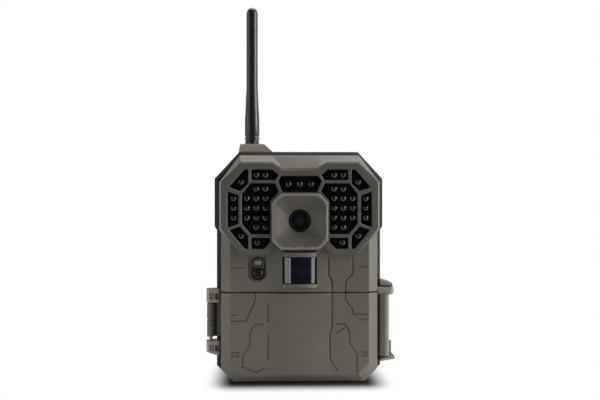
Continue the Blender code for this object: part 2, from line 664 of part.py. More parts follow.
def waist_pieces(black, board, white):
    """Motion sensor with its curved window, and the pill with its indicator and light sensor."""
    bm = bmesh.new()
    front = bow(PIR_HALF, PIR_BULGE, FACE_Y, 12)
    back = [(x * 0.9, y + 1.1) for x, y in reversed(front)]
    prism(bm, front + back, "Z", *PIR_Z)
    finish(bm, "pir_lens", black, 30)
    bm = bmesh.new()
    turn(bm, [(0, -4.2), (3.6, -4.2), (4.6, -3.6), (4.6, 0), (0, 0)], (0, -20, 71), "Y", 16)
    finish(bm, "pir_sensor", board, 30)
    bm = bmesh.new()
    prism(bm, pill_outline(), "Y", -29.6, -26.0)
    pill = finish(bm, "indicator_bezel", black, 40)
    bm = bmesh.new()
    box(bm, (PILL_X - 2.4, PILL_X + 2.4), (-31, -28.4), (74.3, 77.5))
    combine(pill, bm)
    bm = bmesh.new()
    turn(bm, [(0, -2), (3.2, -2), (3.2, 1.2), (0, 1.2)], (PILL_X, -29.6, 68.9), "Y", 24)
    combine(pill, bm)
    bm = bmesh.new()
    box(bm, (PILL_X - 2.1, PILL_X + 2.1), (-29.5, -28.7), (74.6, 77.2))
    finish(bm, "indicator_led", white)
    bm = bmesh.new()
    turn(bm, [(0, -0.6), (1.5, -0.4), (2.9, 0.3), (2.9, 0.9), (0, 0.9)], (PILL_X, -29.6, 68.9), "Y", 24)
    finish(bm, "light_sensor", black, 50)


def door(look, rubber, metal):
    """The battery door: the same plan as the lower front, with cut corners and a hinge barrel."""
    bm = bmesh.new()
    prism(bm, lower_profile(), "Z", DOOR_BOTTOM, SEAM)
    panel = finish(bm, "door", look)
    for side in (-1, 1):
        bm = bmesh.new()
        corner = [(side * 60, 9.6), (side * 49.9, 9.6), (side * 41.2, 0.2), (side * 41.2, -5), (side * 60, -5)]
        prism(bm, corner, "Y", -40, 0)
        combine(panel, bm)
        bm = bmesh.new()
        corner_facet(bm, side)
        combine(panel, bm)
    bm = bmesh.new()
    prism(bm, [(-36, 6.4), (-32, 6.4), (FACE_Y, 5.2), (FACET_Y, DOOR_BOTTOM), (FACET_Y, -2), (-36, -2)],
          "X", -70, 70)
    combine(panel, bm)

    bm = bmesh.new()
    hollow = lower_profile(WALL)
    hollow = [(x, y if y < PART_Y - 1 else 0) for x, y in hollow]
    prism(bm, hollow, "Z", 14.0, SEAM - WALL)
    combine(panel, bm)
    side = LOWER_HALF - WALL
    mouth = [(-side, SEAM - WALL), (side, SEAM - WALL), (side, 10.4), (40.2, 3.2), (-40.2, 3.2), (-side, 10.4)]
    bm = bmesh.new()
    prism(bm, mouth, "Y", FACET_Y + 1.5, 0)
    combine(panel, bm)

    low, high = LOWER_KNUCKLE[1] + PIN_SHOWS, UPPER_KNUCKLE[0] - GAP
    bm = bmesh.new()
    arm = arc(HINGE, BARREL_R, 75, 345, 14)
    arm += [(HINGE[0] + BARREL_R + 0.3, -14.7), (-LOWER_HALF + 1, -14.7), (-LOWER_HALF + 1, PART_Y - GAP - 0.2)]
    prism(bm, arm, "Z", low, high)
    combine(panel, bm, "UNION")
    bm = bmesh.new()
    turn(bm, [(0, low - 3), (PIN_R + GAP, low - 3), (PIN_R + GAP, high + 3), (0, high + 3)], (*HINGE, 0),
         steps=16)
    combine(panel, bm)
    bm = bmesh.new()
    middle = (low + high) / 2
    turn(bm, [(BARREL_R - 0.5, middle - 0.3), (BARREL_R + 0.3, middle - 0.3), (BARREL_R + 0.3, middle + 0.3),
              (BARREL_R - 0.5, middle + 0.3)], (*HINGE, 0), steps=16)
    combine(panel, bm)
    cut_grooves(panel, DOOR_GROOVES)
    moved_object(panel, (*HINGE, 0))
    for child in panel.modifiers:
        moved_object_tool(child.object, panel)

    bm = bmesh.new()
    turn(bm, [(0, LOWER_KNUCKLE[0] + 1.3), (PIN_R, LOWER_KNUCKLE[0] + 1.3), (PIN_R, UPPER_KNUCKLE[1] - 1.3),
              (0, UPPER_KNUCKLE[1] - 1.3)], (*HINGE, 0), steps=16)
    finish(bm, "hinge_pin", metal, 40)

    bm = bmesh.new()
    ring = inset(bay_mouth(), GAP)
    prism(bm, ring, "Y", PART_Y, PART_Y + 2.0)
    seal = finish(bm, "door_seal", rubber)
    bm = bmesh.new()
    prism(bm, inset(ring, 2.1), "Y", -20, 0)
    combine(seal, bm)


def corner_facet(bm, side):
    """The slanted facet that runs round the door's cut lower corner."""
    outer = [(side * 49.9, 9.6), (side * 41.2, 0.2)]
    inner = [(side * 43.2, 13.2), (side * 37.2, 6.8)]
    points = [(outer[0][0], FACET_Y, outer[0][1]), (outer[1][0], FACET_Y, outer[1][1]),
              (inner[1][0], FACE_Y - 0.2, inner[1][1]), (inner[0][0], FACE_Y - 0.2, inner[0][1]),
              (outer[0][0] + side * 4, -36, outer[0][1] - 4), (outer[1][0] + side * 4, -36, outer[1][1] - 4)]
    verts = [bm.verts.new([c * MM for c in p]) for p in points]
    bmesh.ops.convex_hull(bm, input=verts)


def moved_object_tool(tool, owner):
    """A cutting shape follows the object it belongs to, so it stays where it was drawn."""
    tool.parent = owner
    tool.matrix_parent_inverse = Matrix.Translation(-owner.location)


def latch(look, metal):
    """Side latch: a tall lever on a vertical pin, with a rounded front that closes over the door's edge."""
    bm = bmesh.new()
    x, y = LATCH
    plan = arc((x, y), LATCH_R, 0, 180, 10)
    plan += [(x - LATCH_R, -15.2), (x - 5.0, -16.4), (x - 5.0, -20.6), (x - 4.4, -22.4), (x - 3.0, -23.6),
             (x - 1.0, -24.2), (x + 0.7, -23.6), (x + 1.6, -22.0), (x + 1.6, -11.4)]
    prism(bm, plan, "Z", *LATCH_SPAN)
    lever = finish(bm, "latch_lever", look)
    bm = bmesh.new()
    turn(bm, [(0, 10), (PIN_R + GAP, 10), (PIN_R + GAP, 70), (0, 70)], (*LATCH, 0), steps=16)
    combine(lever, bm)
    moved_object(lever, (*LATCH, 0))
    for child in lever.modifiers:
        moved_object_tool(child.object, lever)
    bm = bmesh.new()
    turn(bm, [(0, 13.4), (PIN_R, 13.4), (PIN_R, LATCH_EAR[1]), (0, LATCH_EAR[1])], (*LATCH, 0), steps=16)
    finish(bm, "latch_pin", metal, 40)


def antenna(rubber, brass, seal_rubber):
    """Whip antenna: a threaded nut foot with ring grooves, a tapering sleeve and a domed tip."""
    foot = BOSS_TOP + 1.6
    bm = bmesh.new()
    profile = [(0, ANTENNA_TIP), (1.9, ANTENNA_TIP - 0.5), (3.2, ANTENNA_TIP - 1.7), (3.75, ANTENNA_TIP - 3.4),
               (3.75, 188.6), (4.8, 169.0), (4.8, 157.2), (4.3, 156.8), (4.3, 156.2), (4.8, 155.8),
               (4.8, 154.8), (4.3, 154.4), (4.3, 153.8), (4.8, 153.4), (4.8, foot),
               (3.5, foot), (3.5, foot + 7.0), (0, foot + 7.0)]
    turn(bm, profile, (*ANTENNA, 0), steps=24)
    whip = finish(bm, "antenna_whip", rubber, 40)
    moved_object(whip, (*ANTENNA, foot))
    bm = bmesh.new()
    turn(bm, [(3.6, BOSS_TOP + GAP), (4.7, BOSS_TOP + GAP), (4.7, foot - GAP), (3.6, foot - GAP)],
         (*ANTENNA, 0), steps=24)
    ring = finish(bm, "antenna_seal", seal_rubber, 40)
    moved_object(ring, (*ANTENNA, foot))
    bm = bmesh.new()
    turn(bm, [(0, foot + 6.0), (3.15, foot + 6.0), (3.15, 140.6), (0, 140.6)], (*ANTENNA, 0), steps=20)
    finish(bm, "sma_connector", brass, 40)


def bay(dark, clear, black, metal, grey):
    """Control column beside the battery tray: screen, keys, switch, card and data socket."""
    bm = bmesh.new()
    plate = [(PANEL_X[0], PANEL_Z[0]), (PANEL_X[1] - 6.4, PANEL_Z[0]), (PANEL_X[1], PANEL_Z[0] + 6.8),
             (PANEL_X[1], PANEL_Z[1]), (PANEL_X[0], PANEL_Z[1])]
    prism(bm, plate, "Y", *PANEL_Y)
    panel = finish(bm, "control_panel", dark)
    for x, z in (SCREEN_HOLE, SWITCH_HOLE, CARD_HOLE, USB_HOLE):
        bm = bmesh.new()
        box(bm, x, (-9, 0), z)
        combine(panel, bm)
    for x, z in BUTTONS.values():
        bm = bmesh.new()
        turn(bm, [(0, -4), (BUTTON_R + GAP, -4), (BUTTON_R + GAP, 6), (0, 6)], (x, PANEL_Y[0], z), "Y", 20)
        combine(panel, bm)
    bm = bmesh.new()
    box(bm, (SCREEN_HOLE[0][0] + GAP, SCREEN_HOLE[0][1] - GAP), (-6.7, -5.9),
        (SCREEN_HOLE[1][0] + GAP, SCREEN_HOLE[1][1] - GAP))
    finish(bm, "lcd_window", clear)
    bm = bmesh.new()
    box(bm, (16.2, 44.2), (-5.6, -3.0), (34.4, 50.6))
    finish(bm, "lcd_display", grey)
    for name, (x, z) in BUTTONS.items():
        bm = bmesh.new()
        turn(bm, [(0, -8.1), (BUTTON_R - 0.5, -8.1), (BUTTON_R, -7.6), (BUTTON_R, -3.4), (0, -3.4)],
             (x, 0, z), "Y", 20)
        made = finish(bm, name, grey, 40)
        moved_object(made, (x, -3.4, z))
    bm = bmesh.new()
    box(bm, (SWITCH_HOLE[0][0] + GAP, SWITCH_HOLE[0][0] + 4.3), (-9.0, -3.6), (5.8, 9.4))
    finish(bm, "mode_switch", black)
    bm = bmesh.new()
    box(bm, (CARD_HOLE[0][0] - 0.8, CARD_HOLE[0][1] + 0.8), (-4.3, 20.0),
        (CARD_HOLE[1][0] - 1.6, CARD_HOLE[1][1] + 1.4))
    slot = finish(bm, "card_slot", metal)
    bm = bmesh.new()
    box(bm, CARD_HOLE[0], (-5, 18.6), CARD_HOLE[1])
    combine(slot, bm)
    bm = bmesh.new()
    x, z = CARD_HOLE
    card = [(x[0] + GAP, -9.5), (x[1] - GAP, -9.5), (x[1] - GAP, 18.0), (x[0] + 4.0, 18.0), (x[0] + GAP, 14.6)]
    prism(bm, card, "Z", z[0] + GAP, z[1] - GAP)
    finish(bm, "memory_card", black)
    bm = bmesh.new()
    x, z = USB_HOLE
    box(bm, (x[0] + GAP, x[1] - GAP), (-6.8, 2.0), (z[0] + GAP, z[1] - GAP))
    port = finish(bm, "usb_port", metal)
    bm = bmesh.new()
    box(bm, (x[0] + 0.9, x[1] - 0.9), (-9, 0.8), (z[0] + 0.9, z[1] - 0.9))
    combine(port, bm)
    bm = bmesh.new()
    box(bm, (x[0] + 1.6, x[1] - 1.6), (-5.6, 1.4), (z[0] + 1.5, z[1] - 1.5))
    combine(port, bm, "UNION")


def battery_tray(dark, metal, cell_look):
    """Slide-out tray with a middle web, six cells in two layers, and a contact strip at each end."""
    bm = bmesh.new()
    body = [(TRAY_X[0], TRAY_Z[1]), (TRAY_X[1], TRAY_Z[1]), (TRAY_X[1], TRAY_Z[0]), (TRAY_X[0] + 3.1, TRAY_Z[0]),
            (TRAY_X[0], TRAY_Z[0] + 3.1)]
    prism(bm, body, "Y", *TRAY_Y)
    tray = finish(bm, "battery_tray", dark)
    middle = (TRAY_Y[0] + TRAY_Y[1]) / 2
    span = (TRAY_X[0] + 2.0, TRAY_X[1] - 2.0)
    half_height = CELL_PITCH * 1.5 + GAP
    centre_z = TRAY_Z[1] - 0.8 - half_height
    for side, edge in ((-1, TRAY_Y[0] - 1), (1, TRAY_Y[1] + 1)):
        web = middle + side * 0.8
        bm = bmesh.new()
        box(bm, span, sorted((edge, web)), (centre_z - half_height, centre_z + half_height))
        combine(tray, bm)
    contact = 0.5
    height = (centre_z - half_height + 1, centre_z + half_height - 1)
    for name, x in (("contact_left", span[0] + GAP), ("contact_right", span[1] - GAP - contact)):
        bm = bmesh.new()
        box(bm, (x, x + contact), (TRAY_Y[0] + 0.5, middle - 0.8 - GAP), height)
        finish(bm, name, metal)
    start = (span[0] + span[1] - CELL_LENGTH) / 2
    number = 1
    for layer in (-1, 1):
        for row in (1, 0, -1):
            place = (0, middle + layer * (0.8 + GAP + CELL_R), centre_z + row * CELL_PITCH)
            bm = bmesh.new()
            a, b = start, start + CELL_LENGTH
            turn(bm, [(0, a), (CELL_R - 0.4, a), (CELL_R, a + 0.4), (CELL_R, b - 1.8), (CELL_R - 0.4, b - 1.4),
                      (2.7, b - 1.4), (2.7, b), (0, b)], place, "X", 20)
            finish(bm, "battery_%d" % number, cell_look, 40)
            number += 1


def inner_pieces(board, black, metal, rubber, brass):
    """Main board, power jack and its cover, tripod insert and the back screws."""
    bm = bmesh.new()
    box(bm, (-44, 44), (2.0, 3.6), (62.0, 126.0))
    main = finish(bm, "main_board", board)
    for x, z, w, h, d in ((-10, 90, 14, 14, 1.6), (16, 94, 10, 12, 1.4), (-30, 110, 12, 9, 2.4),
                          (28, 72, 16, 10, 3.0), (-32, 76, 9, 9, 1.8)):
        bm = bmesh.new()
        box(bm, (x, x + w), (2.0 - d, 2.4), (z, z + h))
        combine(main, bm, "UNION")
    bm = bmesh.new()
    turn(bm, [(1.2, 1.6 + GAP), (3.2, 1.6 + GAP), (3.2, 3.4), (1.2, 3.4)], (*PORT, 0), steps=16)
    finish(bm, "dc_jack", black, 40)
    bm = bmesh.new()
    box(bm, (PORT[0] - 6.0, PORT[0] + 6.0), (PORT[1] - 5.0, PORT[1] + 6.5), (0.3, 1.5))
    cover = finish(bm, "port_cover", rubber)
    moved_object(cover, (PORT[0], PORT[1] + 6.5, 0.9))
    bm = bmesh.new()
    turn(bm, [(2.6, 0.3), (4.3, 0.3), (4.3, 3.7), (2.6, 3.7)], (*TRIPOD, 0), steps=20)
    finish(bm, "tripod_insert", brass, 40)
    for index, (x, z) in enumerate(SCREWS):
        bm = bmesh.new()
        turn(bm, [(0, -0.4), (2.2, -0.4), (2.7, -0.9), (2.7, -1.7), (1.2, -1.7), (1.2, -4.2), (0, -4.2)],
             (x, BACK_Y, z), "Y", 14)
        finish(bm, "housing_screw_%d" % (index + 1), metal, 40)


def build():
    clear_scene()
    tan = material("tan_housing", (104, 101, 92), 0.62)
    lever = material("tan_lever", (124, 117, 105), 0.55)
    black = material("black_plastic", (14, 14, 16), 0.3)
    window = material("ir_window", (12, 12, 14), 0.12)
    dark = material("dark_plastic", (38, 38, 38), 0.6)
    rubber = material("antenna_rubber", (28, 28, 30), 0.5)
    seal = material("seal_rubber", (30, 30, 30), 0.85)
    clear = material("lens_glass", (16, 19, 28), 0.05)
    board = material("circuit_board", (24, 60, 36), 0.45)
    steel = material("steel", (150, 150, 150), 0.35, 1.0)
    brass = material("brass", (170, 140, 80), 0.3, 1.0)
    white = material("indicator_white", (190, 190, 184), 0.4)
    grey = material("grey_plastic", (120, 124, 120), 0.5)
    cell = material("cell_wrap", (60, 62, 66), 0.35)
    rear_housing(tan)
    front_housing(tan)
    head_pieces(tan, window, board)
    lens_pieces(tan, black, clear, board)
    waist_pieces(black, board, white)
    door(tan, seal, steel)
    latch(lever, steel)
    antenna(rubber, brass, seal)
    bay(dark, clear, black, steel, grey)
    battery_tray(dark, steel, cell)
    inner_pieces(board, black, steel, seal, brass)


build()
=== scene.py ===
import bpy
import math
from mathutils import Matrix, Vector
from mathutils.bvhtree import BVHTree


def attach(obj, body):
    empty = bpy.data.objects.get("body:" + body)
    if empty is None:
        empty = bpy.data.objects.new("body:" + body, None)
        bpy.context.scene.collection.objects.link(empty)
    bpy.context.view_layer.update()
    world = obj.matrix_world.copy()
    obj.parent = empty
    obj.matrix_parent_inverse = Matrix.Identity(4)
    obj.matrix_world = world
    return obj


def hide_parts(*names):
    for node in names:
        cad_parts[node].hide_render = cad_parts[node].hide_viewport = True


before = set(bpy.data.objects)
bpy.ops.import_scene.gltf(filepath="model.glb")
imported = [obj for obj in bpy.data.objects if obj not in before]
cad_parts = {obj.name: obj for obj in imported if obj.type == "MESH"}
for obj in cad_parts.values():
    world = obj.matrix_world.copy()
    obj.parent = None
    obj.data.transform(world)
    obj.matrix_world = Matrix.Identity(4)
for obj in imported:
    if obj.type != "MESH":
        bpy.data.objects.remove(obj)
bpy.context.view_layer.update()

MM = 0.001


# Rear housing: the deep back shell in grey-brown ABS, with the antenna boss, the hinge and latch
# ears and the strap bars. It is moulded in one shot, so its sharp edges are rounded as the mould
# leaves them. Its forward rim carries painted shade, and the forward faces of its boss, ears and
# knuckles carry painted light.
def linear(code):
    """An sRGB hex colour as a linear RGBA."""
    channels = []
    for i in (0, 2, 4):
        value = int(code[i:i + 2], 16) / 255
        channels.append(value / 12.92 if value <= 0.04045 else ((value + 0.055) / 1.055) ** 2.4)
    return (*channels, 1)


def add(tree, kind, settings=None, links=None):
    """Add a node to a material, set its values and join its inputs."""
    made = tree.nodes.new(kind)
    for key, value in (settings or {}).items():
        if key == "stops":
            while len(made.color_ramp.elements) < len(value):
                made.color_ramp.elements.new(0.5)
            for element, (place, colour) in zip(made.color_ramp.elements, value):
                element.position = place
                element.color = colour
        elif isinstance(key, str) and hasattr(made, key):
            setattr(made, key, value)
        else:
            made.inputs[key].default_value = value
    for key, (source, socket) in (links or {}).items():
        tree.links.new(source.outputs[socket], made.inputs[key])
    return made


def new_material(name, **sockets):
    """A material with its shader's sockets set. Returns it with its tree, its shader and its
    coordinates."""
    made = bpy.data.materials.new(name)
    made.use_nodes = True
    tree = made.node_tree
    shader = tree.nodes["Principled BSDF"]
    for key, value in sockets.items():
        shader.inputs[key.replace("_", " ")].default_value = value
    where = tree.nodes.new("ShaderNodeTexCoord")
    return made, tree, shader, where


def grained(name, light, dark, roughness, grain_size=0.5, relief=0.03):
    """A matt surface with a fine even grain that breaks up the highlights, as a spark-eroded
    mould leaves on ABS, and a slow drift of tone. Sizes are in millimetres. The real grain is
    about 0.15 mm; it is drawn coarser so that it shows."""
    made, tree, shader, where = new_material(name, IOR=1.53)
    grain = add(tree, "ShaderNodeTexNoise",
                {"Scale": 1 / (grain_size * MM), "Detail": 3.0, "Roughness": 0.6},
                {"Vector": (where, "Object")})
    cloud = add(tree, "ShaderNodeTexNoise", {"Scale": 1 / (24 * MM), "Detail": 2.0},
                {"Vector": (where, "Object")})
    both = add(tree, "ShaderNodeMath", {"operation": "MULTIPLY_ADD", 1: 0.25},
               {0: (cloud, "Fac"), 2: (grain, "Fac")})
    colour = add(tree, "ShaderNodeValToRGB",
                 {"stops": [(0.42, linear(dark)), (0.85, linear(light))]}, {"Fac": (both, 0)})
    tree.links.new(colour.outputs["Color"], shader.inputs["Base Color"])
    rough = add(tree, "ShaderNodeMapRange",
                {"To Min": roughness - 0.06, "To Max": roughness + 0.08},
                {"Value": (grain, "Fac")})
    tree.links.new(rough.outputs["Result"], shader.inputs["Roughness"])
    bump = add(tree, "ShaderNodeBump", {"Strength": 0.35, "Distance": relief * MM},
               {"Height": (grain, "Fac")})
    tree.links.new(bump.outputs["Normal"], shader.inputs["Normal"])
    return made


def deselect():
    """Leave edit mode, with nothing selected."""
    if bpy.context.object and bpy.context.object.mode != "OBJECT":
        bpy.ops.object.mode_set(mode="OBJECT")
    bpy.ops.object.select_all(action="DESELECT")


def take_up(piece):
    """Select one piece alone and make it the active one."""
    deselect()
    piece.select_set(True)
    bpy.context.view_layer.objects.active = piece


def spread(a, b, c, d):
    """The least distance between two short segments, from their ends and middles."""
    least = 1.0
    for start, end, points in ((a, b, (c, d, (c + d) / 2)), (c, d, (a, b, (a + b) / 2))):
        along = end - start
        for point in points:
            share = min(max((point - start).dot(along) / max(along.length_squared, 1e-14), 0), 1)
            least = min(least, (start + along * share - point).length)
    return least


WELD = 0.002 * MM
FLAT_WITHIN = math.radians(0.6)
SHARP_ABOVE = math.radians(28)
SMOOTH_BELOW = math.radians(34)
SHARED_FACE, WHOLE_FACE = 0.45, 0.9  # how much of a face's width the rounding of an edge may take


def moulded_copy(node, radius, look, body, segments=3, first=None):
    """A copy of a CAD solid, welded, with its sharp edges rounded as a mould leaves them.
    Where a face is narrow, the rounding of its edges shrinks to fit. A step before the rounding
    can be handed in."""
    piece = bpy.data.objects.new(node + "_moulded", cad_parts[node].data.copy())
    bpy.context.scene.collection.objects.link(piece)
    take_up(piece)
    bpy.ops.mesh.customdata_custom_splitnormals_clear()
    bpy.ops.object.mode_set(mode="EDIT")
    bpy.ops.mesh.select_all(action="SELECT")
    bpy.ops.mesh.remove_doubles(threshold=WELD)
    bpy.ops.mesh.dissolve_limited(angle_limit=FLAT_WITHIN)
    bpy.ops.object.mode_set(mode="OBJECT")
    if first:
        first(piece)
    mesh = piece.data
    number = {tuple(sorted(edge.vertices)): edge.index for edge in mesh.edges}
    beside = {}
    for face in mesh.polygons:
        for key in face.edge_keys:
            beside.setdefault(number[tuple(sorted(key))], []).append(face)
    sharp = {index for index, faces in beside.items() if len(faces) == 2
             and faces[0].normal.angle(faces[1].normal, 0) > SHARP_ABOVE}
    place = [vert.co for vert in mesh.vertices]
    marks = mesh.attributes.new("bevel_weight_edge", "FLOAT", "EDGE")
    for index in sharp:
        a, b = mesh.edges[index].vertices
        room = radius * MM
        for face in beside[index]:
            for key in face.edge_keys:
                if a in key or b in key:
                    continue
                share = SHARED_FACE if number[tuple(sorted(key))] in sharp else WHOLE_FACE
                room = min(room, share * spread(place[a], place[b], place[key[0]], place[key[1]]))
        marks.data[index].value = room / (radius * MM)
    solid = BVHTree.FromPolygons([vert.co.copy() for vert in mesh.vertices],
                                 [tuple(face.vertices) for face in mesh.polygons])
    rounding = piece.modifiers.new("Rounding", "BEVEL")
    rounding.width = radius * MM
    rounding.segments = segments
    rounding.limit_method = "WEIGHT"
    rounding.use_clamp_overlap = False
    bpy.ops.object.modifier_apply(modifier="Rounding")
    for vert in mesh.vertices:  # a mitre between near-flat faces can throw a corner off the solid
        nearest, _, _, gap = solid.find_nearest(vert.co)
        if gap > radius * MM:
            vert.co = nearest
    bpy.ops.object.shade_smooth_by_angle(angle=SMOOTH_BELOW)
    evening = piece.modifiers.new("Evening", "WEIGHTED_NORMAL")
    evening.mode = "FACE_AREA"
    evening.weight = 50
    evening.keep_sharp = True
    bpy.ops.object.modifier_apply(modifier="Evening")
    mesh.materials.clear()
    mesh.materials.append(look)
    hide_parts(node)
    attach(piece, body)
    return piece


# ABS from a spark-eroded mould: dry grey-brown, with wide soft highlights.
housing_abs = grained("abs_spark_eroded_tan", "68645A", "565249", 0.6)
# Painted shade on the joint faces: a dark ABS that takes little light, so each joint reads deep.
painted_shade_abs = grained("abs_joints_painted_shade", "322F2B", "282622", 0.85)
painted_shade_abs.node_tree.nodes["Principled BSDF"].inputs["Specular IOR Level"].default_value = 0.2
# The same ABS painted paler on the boss, ears and knuckles: painted light where they catch it.
painted_light_abs = grained("abs_boss_faces_painted_light", "9A9588", "878276", 0.55)
SHELL_HALF_WIDTH, SHELL_TOP = 54.2, 146.2  # the shell without its boss, ears and knuckles, in mm
SHELL_RIM = (-13.6, -10.6)
EARS_AHEAD_OF, BOSS_AHEAD_OF = -16, 8
FORWARD = -0.3  # a face whose normal's Y is less than this faces forwards
rear = moulded_copy("rear_housing", 0.35, housing_abs, "housing")
rear.data.materials.append(painted_shade_abs)
rear.data.materials.append(painted_light_abs)
for face in rear.data.polygons:
    middle = face.center / MM
    shell = abs(middle.x) < SHELL_HALF_WIDTH and middle.z < SHELL_TOP
    if face.normal.y < FORWARD:
        # Painted shade: the shell's forward rim takes the dark ABS.
        if shell and SHELL_RIM[0] < middle.y < SHELL_RIM[1]:
            face.material_index = 1
        # Painted light: the forward faces of the boss, ears and knuckles take the paler ABS.
        elif middle.y < EARS_AHEAD_OF or not shell and middle.y < BOSS_AHEAD_OF:
            face.material_index = 2

# Front housing: the fixed front moulding with the octagonal head, the waist and the ledges round
# the motion sensor. It is the same ABS, screwed to the rear housing.
HEAD_SIDE, HEAD_SIDE_ENDS = 46.9, (96, 127.5)  # the head's upright sides: X and Z range, in mm
RIM_GROWTH, RIM_ROOT, RIM_DEPTH = 1.9, -25.0, 7.5
WAIST_FOOT = 57.7 * MM
DOWNWARD = -0.25  # a face whose normal's Z is less than this faces downwards


def widen(piece):
    """Stand the front of the head's sides further out, so that the flat rim is as broad as it is.
    The rim grows from nothing at its root to its full breadth at its depth."""
    for vert in piece.data.vertices:
        x, y, z = vert.co / MM
        if abs(x) > HEAD_SIDE and y < RIM_ROOT - 0.05 and HEAD_SIDE_ENDS[0] < z < HEAD_SIDE_ENDS[1]:
            vert.co.x += math.copysign(RIM_GROWTH * (RIM_ROOT - y) / RIM_DEPTH, x) * MM


front = moulded_copy("front_housing", 0.35, housing_abs, "housing", first=widen)
front.data.materials.append(painted_shade_abs)
# Painted shade: the downward faces at the waist's foot, over the seam, take the dark ABS.
for face in front.data.polygons:
    if face.center.z < WAIST_FOOT and face.normal.z < DOWNWARD:
        face.material_index = 1

# Bezel: the ribbed frame that clips over the dark windows and covers the joint round them. It is
# moulded in the case's ABS, in a tool of its own.
# A deeper tan than the case, so that the frame sinks back inside the head's rim.
bezel_abs = grained("abs_spark_eroded_deep_tan", "5C5850", "4D4A43", 0.62)
bezel = moulded_copy("ir_bezel", 0.75, bezel_abs, "housing", segments=4, first=widen)

# Lens hood: the funnel that keeps stray light off the lens, moulded in the same ABS as the bezel.
# Its rounded rim stands proud and catches the light.
HOOD_AXIS = 101.6 * MM
HOOD_RIM = -33.8 * MM
RIM_FRONT = -0.97  # the normal's Y of the rim's flat front
hood = moulded_copy("lens_hood", 0.7, bezel_abs, "housing", segments=5)
# The same ABS painted paler on the rim, a painted highlight, with a tighter sheen.
rim_painted_highlight_abs = grained("abs_rim_painted_highlight", "847F73", "747064", 0.5)
hood.data.materials.append(rim_painted_highlight_abs)
# Painted highlight: the rim's front and outward faces take the paler ABS.
for face in hood.data.polygons:
    outward = face.center.x * face.normal.x + (face.center.z - HOOD_AXIS) * face.normal.z > 0
    if face.center.y < HOOD_RIM and (outward or face.normal.y < RIM_FRONT):
        face.material_index = 1

# Battery door: the lower half of the front, hinged on the left, with moulded panel lines. A strip
# beside the hinge and the top edge carry painted shade.
HINGE_STRIP = (-54.4 * MM, -52.4 * MM)
HINGE_SIDE = -49.5 * MM
DOOR_TOP = 56.4 * MM
UPWARD = 0.25  # a face whose normal's Z is more than this faces upwards


def score(piece, chosen, place, normal):
    """Cut the chosen faces along a plane, so that a finish can end there."""
    take_up(piece)
    bpy.ops.object.mode_set(mode="EDIT")
    bpy.context.tool_settings.mesh_select_mode = (False, False, True)
    bpy.ops.mesh.select_all(action="DESELECT")
    bpy.ops.object.mode_set(mode="OBJECT")
    for face in piece.data.polygons:
        face.select = chosen(face)
    bpy.ops.object.mode_set(mode="EDIT")
    bpy.ops.mesh.bisect(plane_co=place, plane_no=normal)
    bpy.ops.object.mode_set(mode="OBJECT")
    bpy.context.tool_settings.mesh_select_mode = (True, False, False)


door = moulded_copy("door", 0.35, housing_abs, "door", first=lambda piece: score(
    piece, lambda face: face.center.x < HINGE_SIDE and face.normal.y < -0.95,
    (HINGE_STRIP[1], 0, 0), (1, 0, 0)))
door.data.materials.append(painted_shade_abs)
# Painted shade: the strip beside the hinge, in the body's shadow, and the top edge over the seam.
for face in door.data.polygons:
    strip = HINGE_STRIP[0] < face.center.x < HINGE_STRIP[1] and face.normal.y < -0.5
    if strip or face.center.z > DOOR_TOP and face.normal.z > UPWARD:
        face.material_index = 1

# Latch lever: the lever that holds the door shut, an ABS moulding that turns on a steel pin. It is
# handled each time the camera is opened.
# A smoother mould finish: a shade lighter than the case, with a clearer sheen on its edges.
lever_abs = grained("abs_polished_tan", "7C776B", "6C675C", 0.48, relief=0.012)
lever = moulded_copy("latch_lever", 0.5, lever_abs, "latch")

# Infrared windows: moulded sheets of nearly black acrylic that only infrared passes, with raised
# pads that fill the openings of the bezel.
# Infrared-pass acrylic: nearly black and glossy, with a slow smear that softens its reflections.
acrylic, tree, shader, where = new_material("acrylic_infrared_black", IOR=1.46)
haze = add(tree, "ShaderNodeTexNoise", {"Scale": 1 / (9 * MM), "Detail": 2.0},
           {"Vector": (where, "Object")})
tint = add(tree, "ShaderNodeValToRGB",
           {"stops": [(0.3, linear("060505")), (0.8, linear("0D0B09"))]}, {"Fac": (haze, "Fac")})
tree.links.new(tint.outputs["Color"], shader.inputs["Base Color"])
smear = add(tree, "ShaderNodeMapRange", {"To Min": 0.12, "To Max": 0.24}, {"Value": (haze, "Fac")})
tree.links.new(smear.outputs["Result"], shader.inputs["Roughness"])
for node in ("ir_window_left", "ir_window_right", "ir_window_top"):
    window = moulded_copy(node, 0.12, acrylic, "housing", segments=2)

# Emitters: 45 domes of smoked epoxy on their boards. Each carries a painted reflection: a pale
# horseshoe, open at the top, that stands for the glint of the cup under the die. One is modelled
# and the others are copies of it.
DOME_RADIUS = 2.08 * MM
DOME_TIP = -32.45 * MM
DOME_STEM = 2.0 * MM
SIDE_ROWS = [(130.6, (21.4, 27.2)), (126.3, (36.6,)), (122, (21.4, 27.2)),
             (116, (21.4, 27.2, 33, 41.2)), (110, (21.4, 27.2, 33, 41.2)),
             (104, (21.4, 27.2, 33, 41.2)), (98, (21.4, 27.2)), (92.6, (36.5,)), (88.5, (26.6,))]
# Smoked epoxy: near black, with a soft sheen and a painted reflection, a pale horseshoe drawn by
# the dome's own direction, so each emitter carries the same one.
epoxy, tree, shader, where = new_material("epoxy_smoked_dome_painted_glint", Roughness=0.4, IOR=1.45,
                                          Specular_IOR_Level=0.35)
facing = tree.nodes.new("ShaderNodeNewGeometry")
split = add(tree, "ShaderNodeSeparateXYZ", {}, {"Vector": (facing, "Normal")})
depth = add(tree, "ShaderNodeMath", {"operation": "MULTIPLY", 1: -1.0}, {0: (split, "Y")})
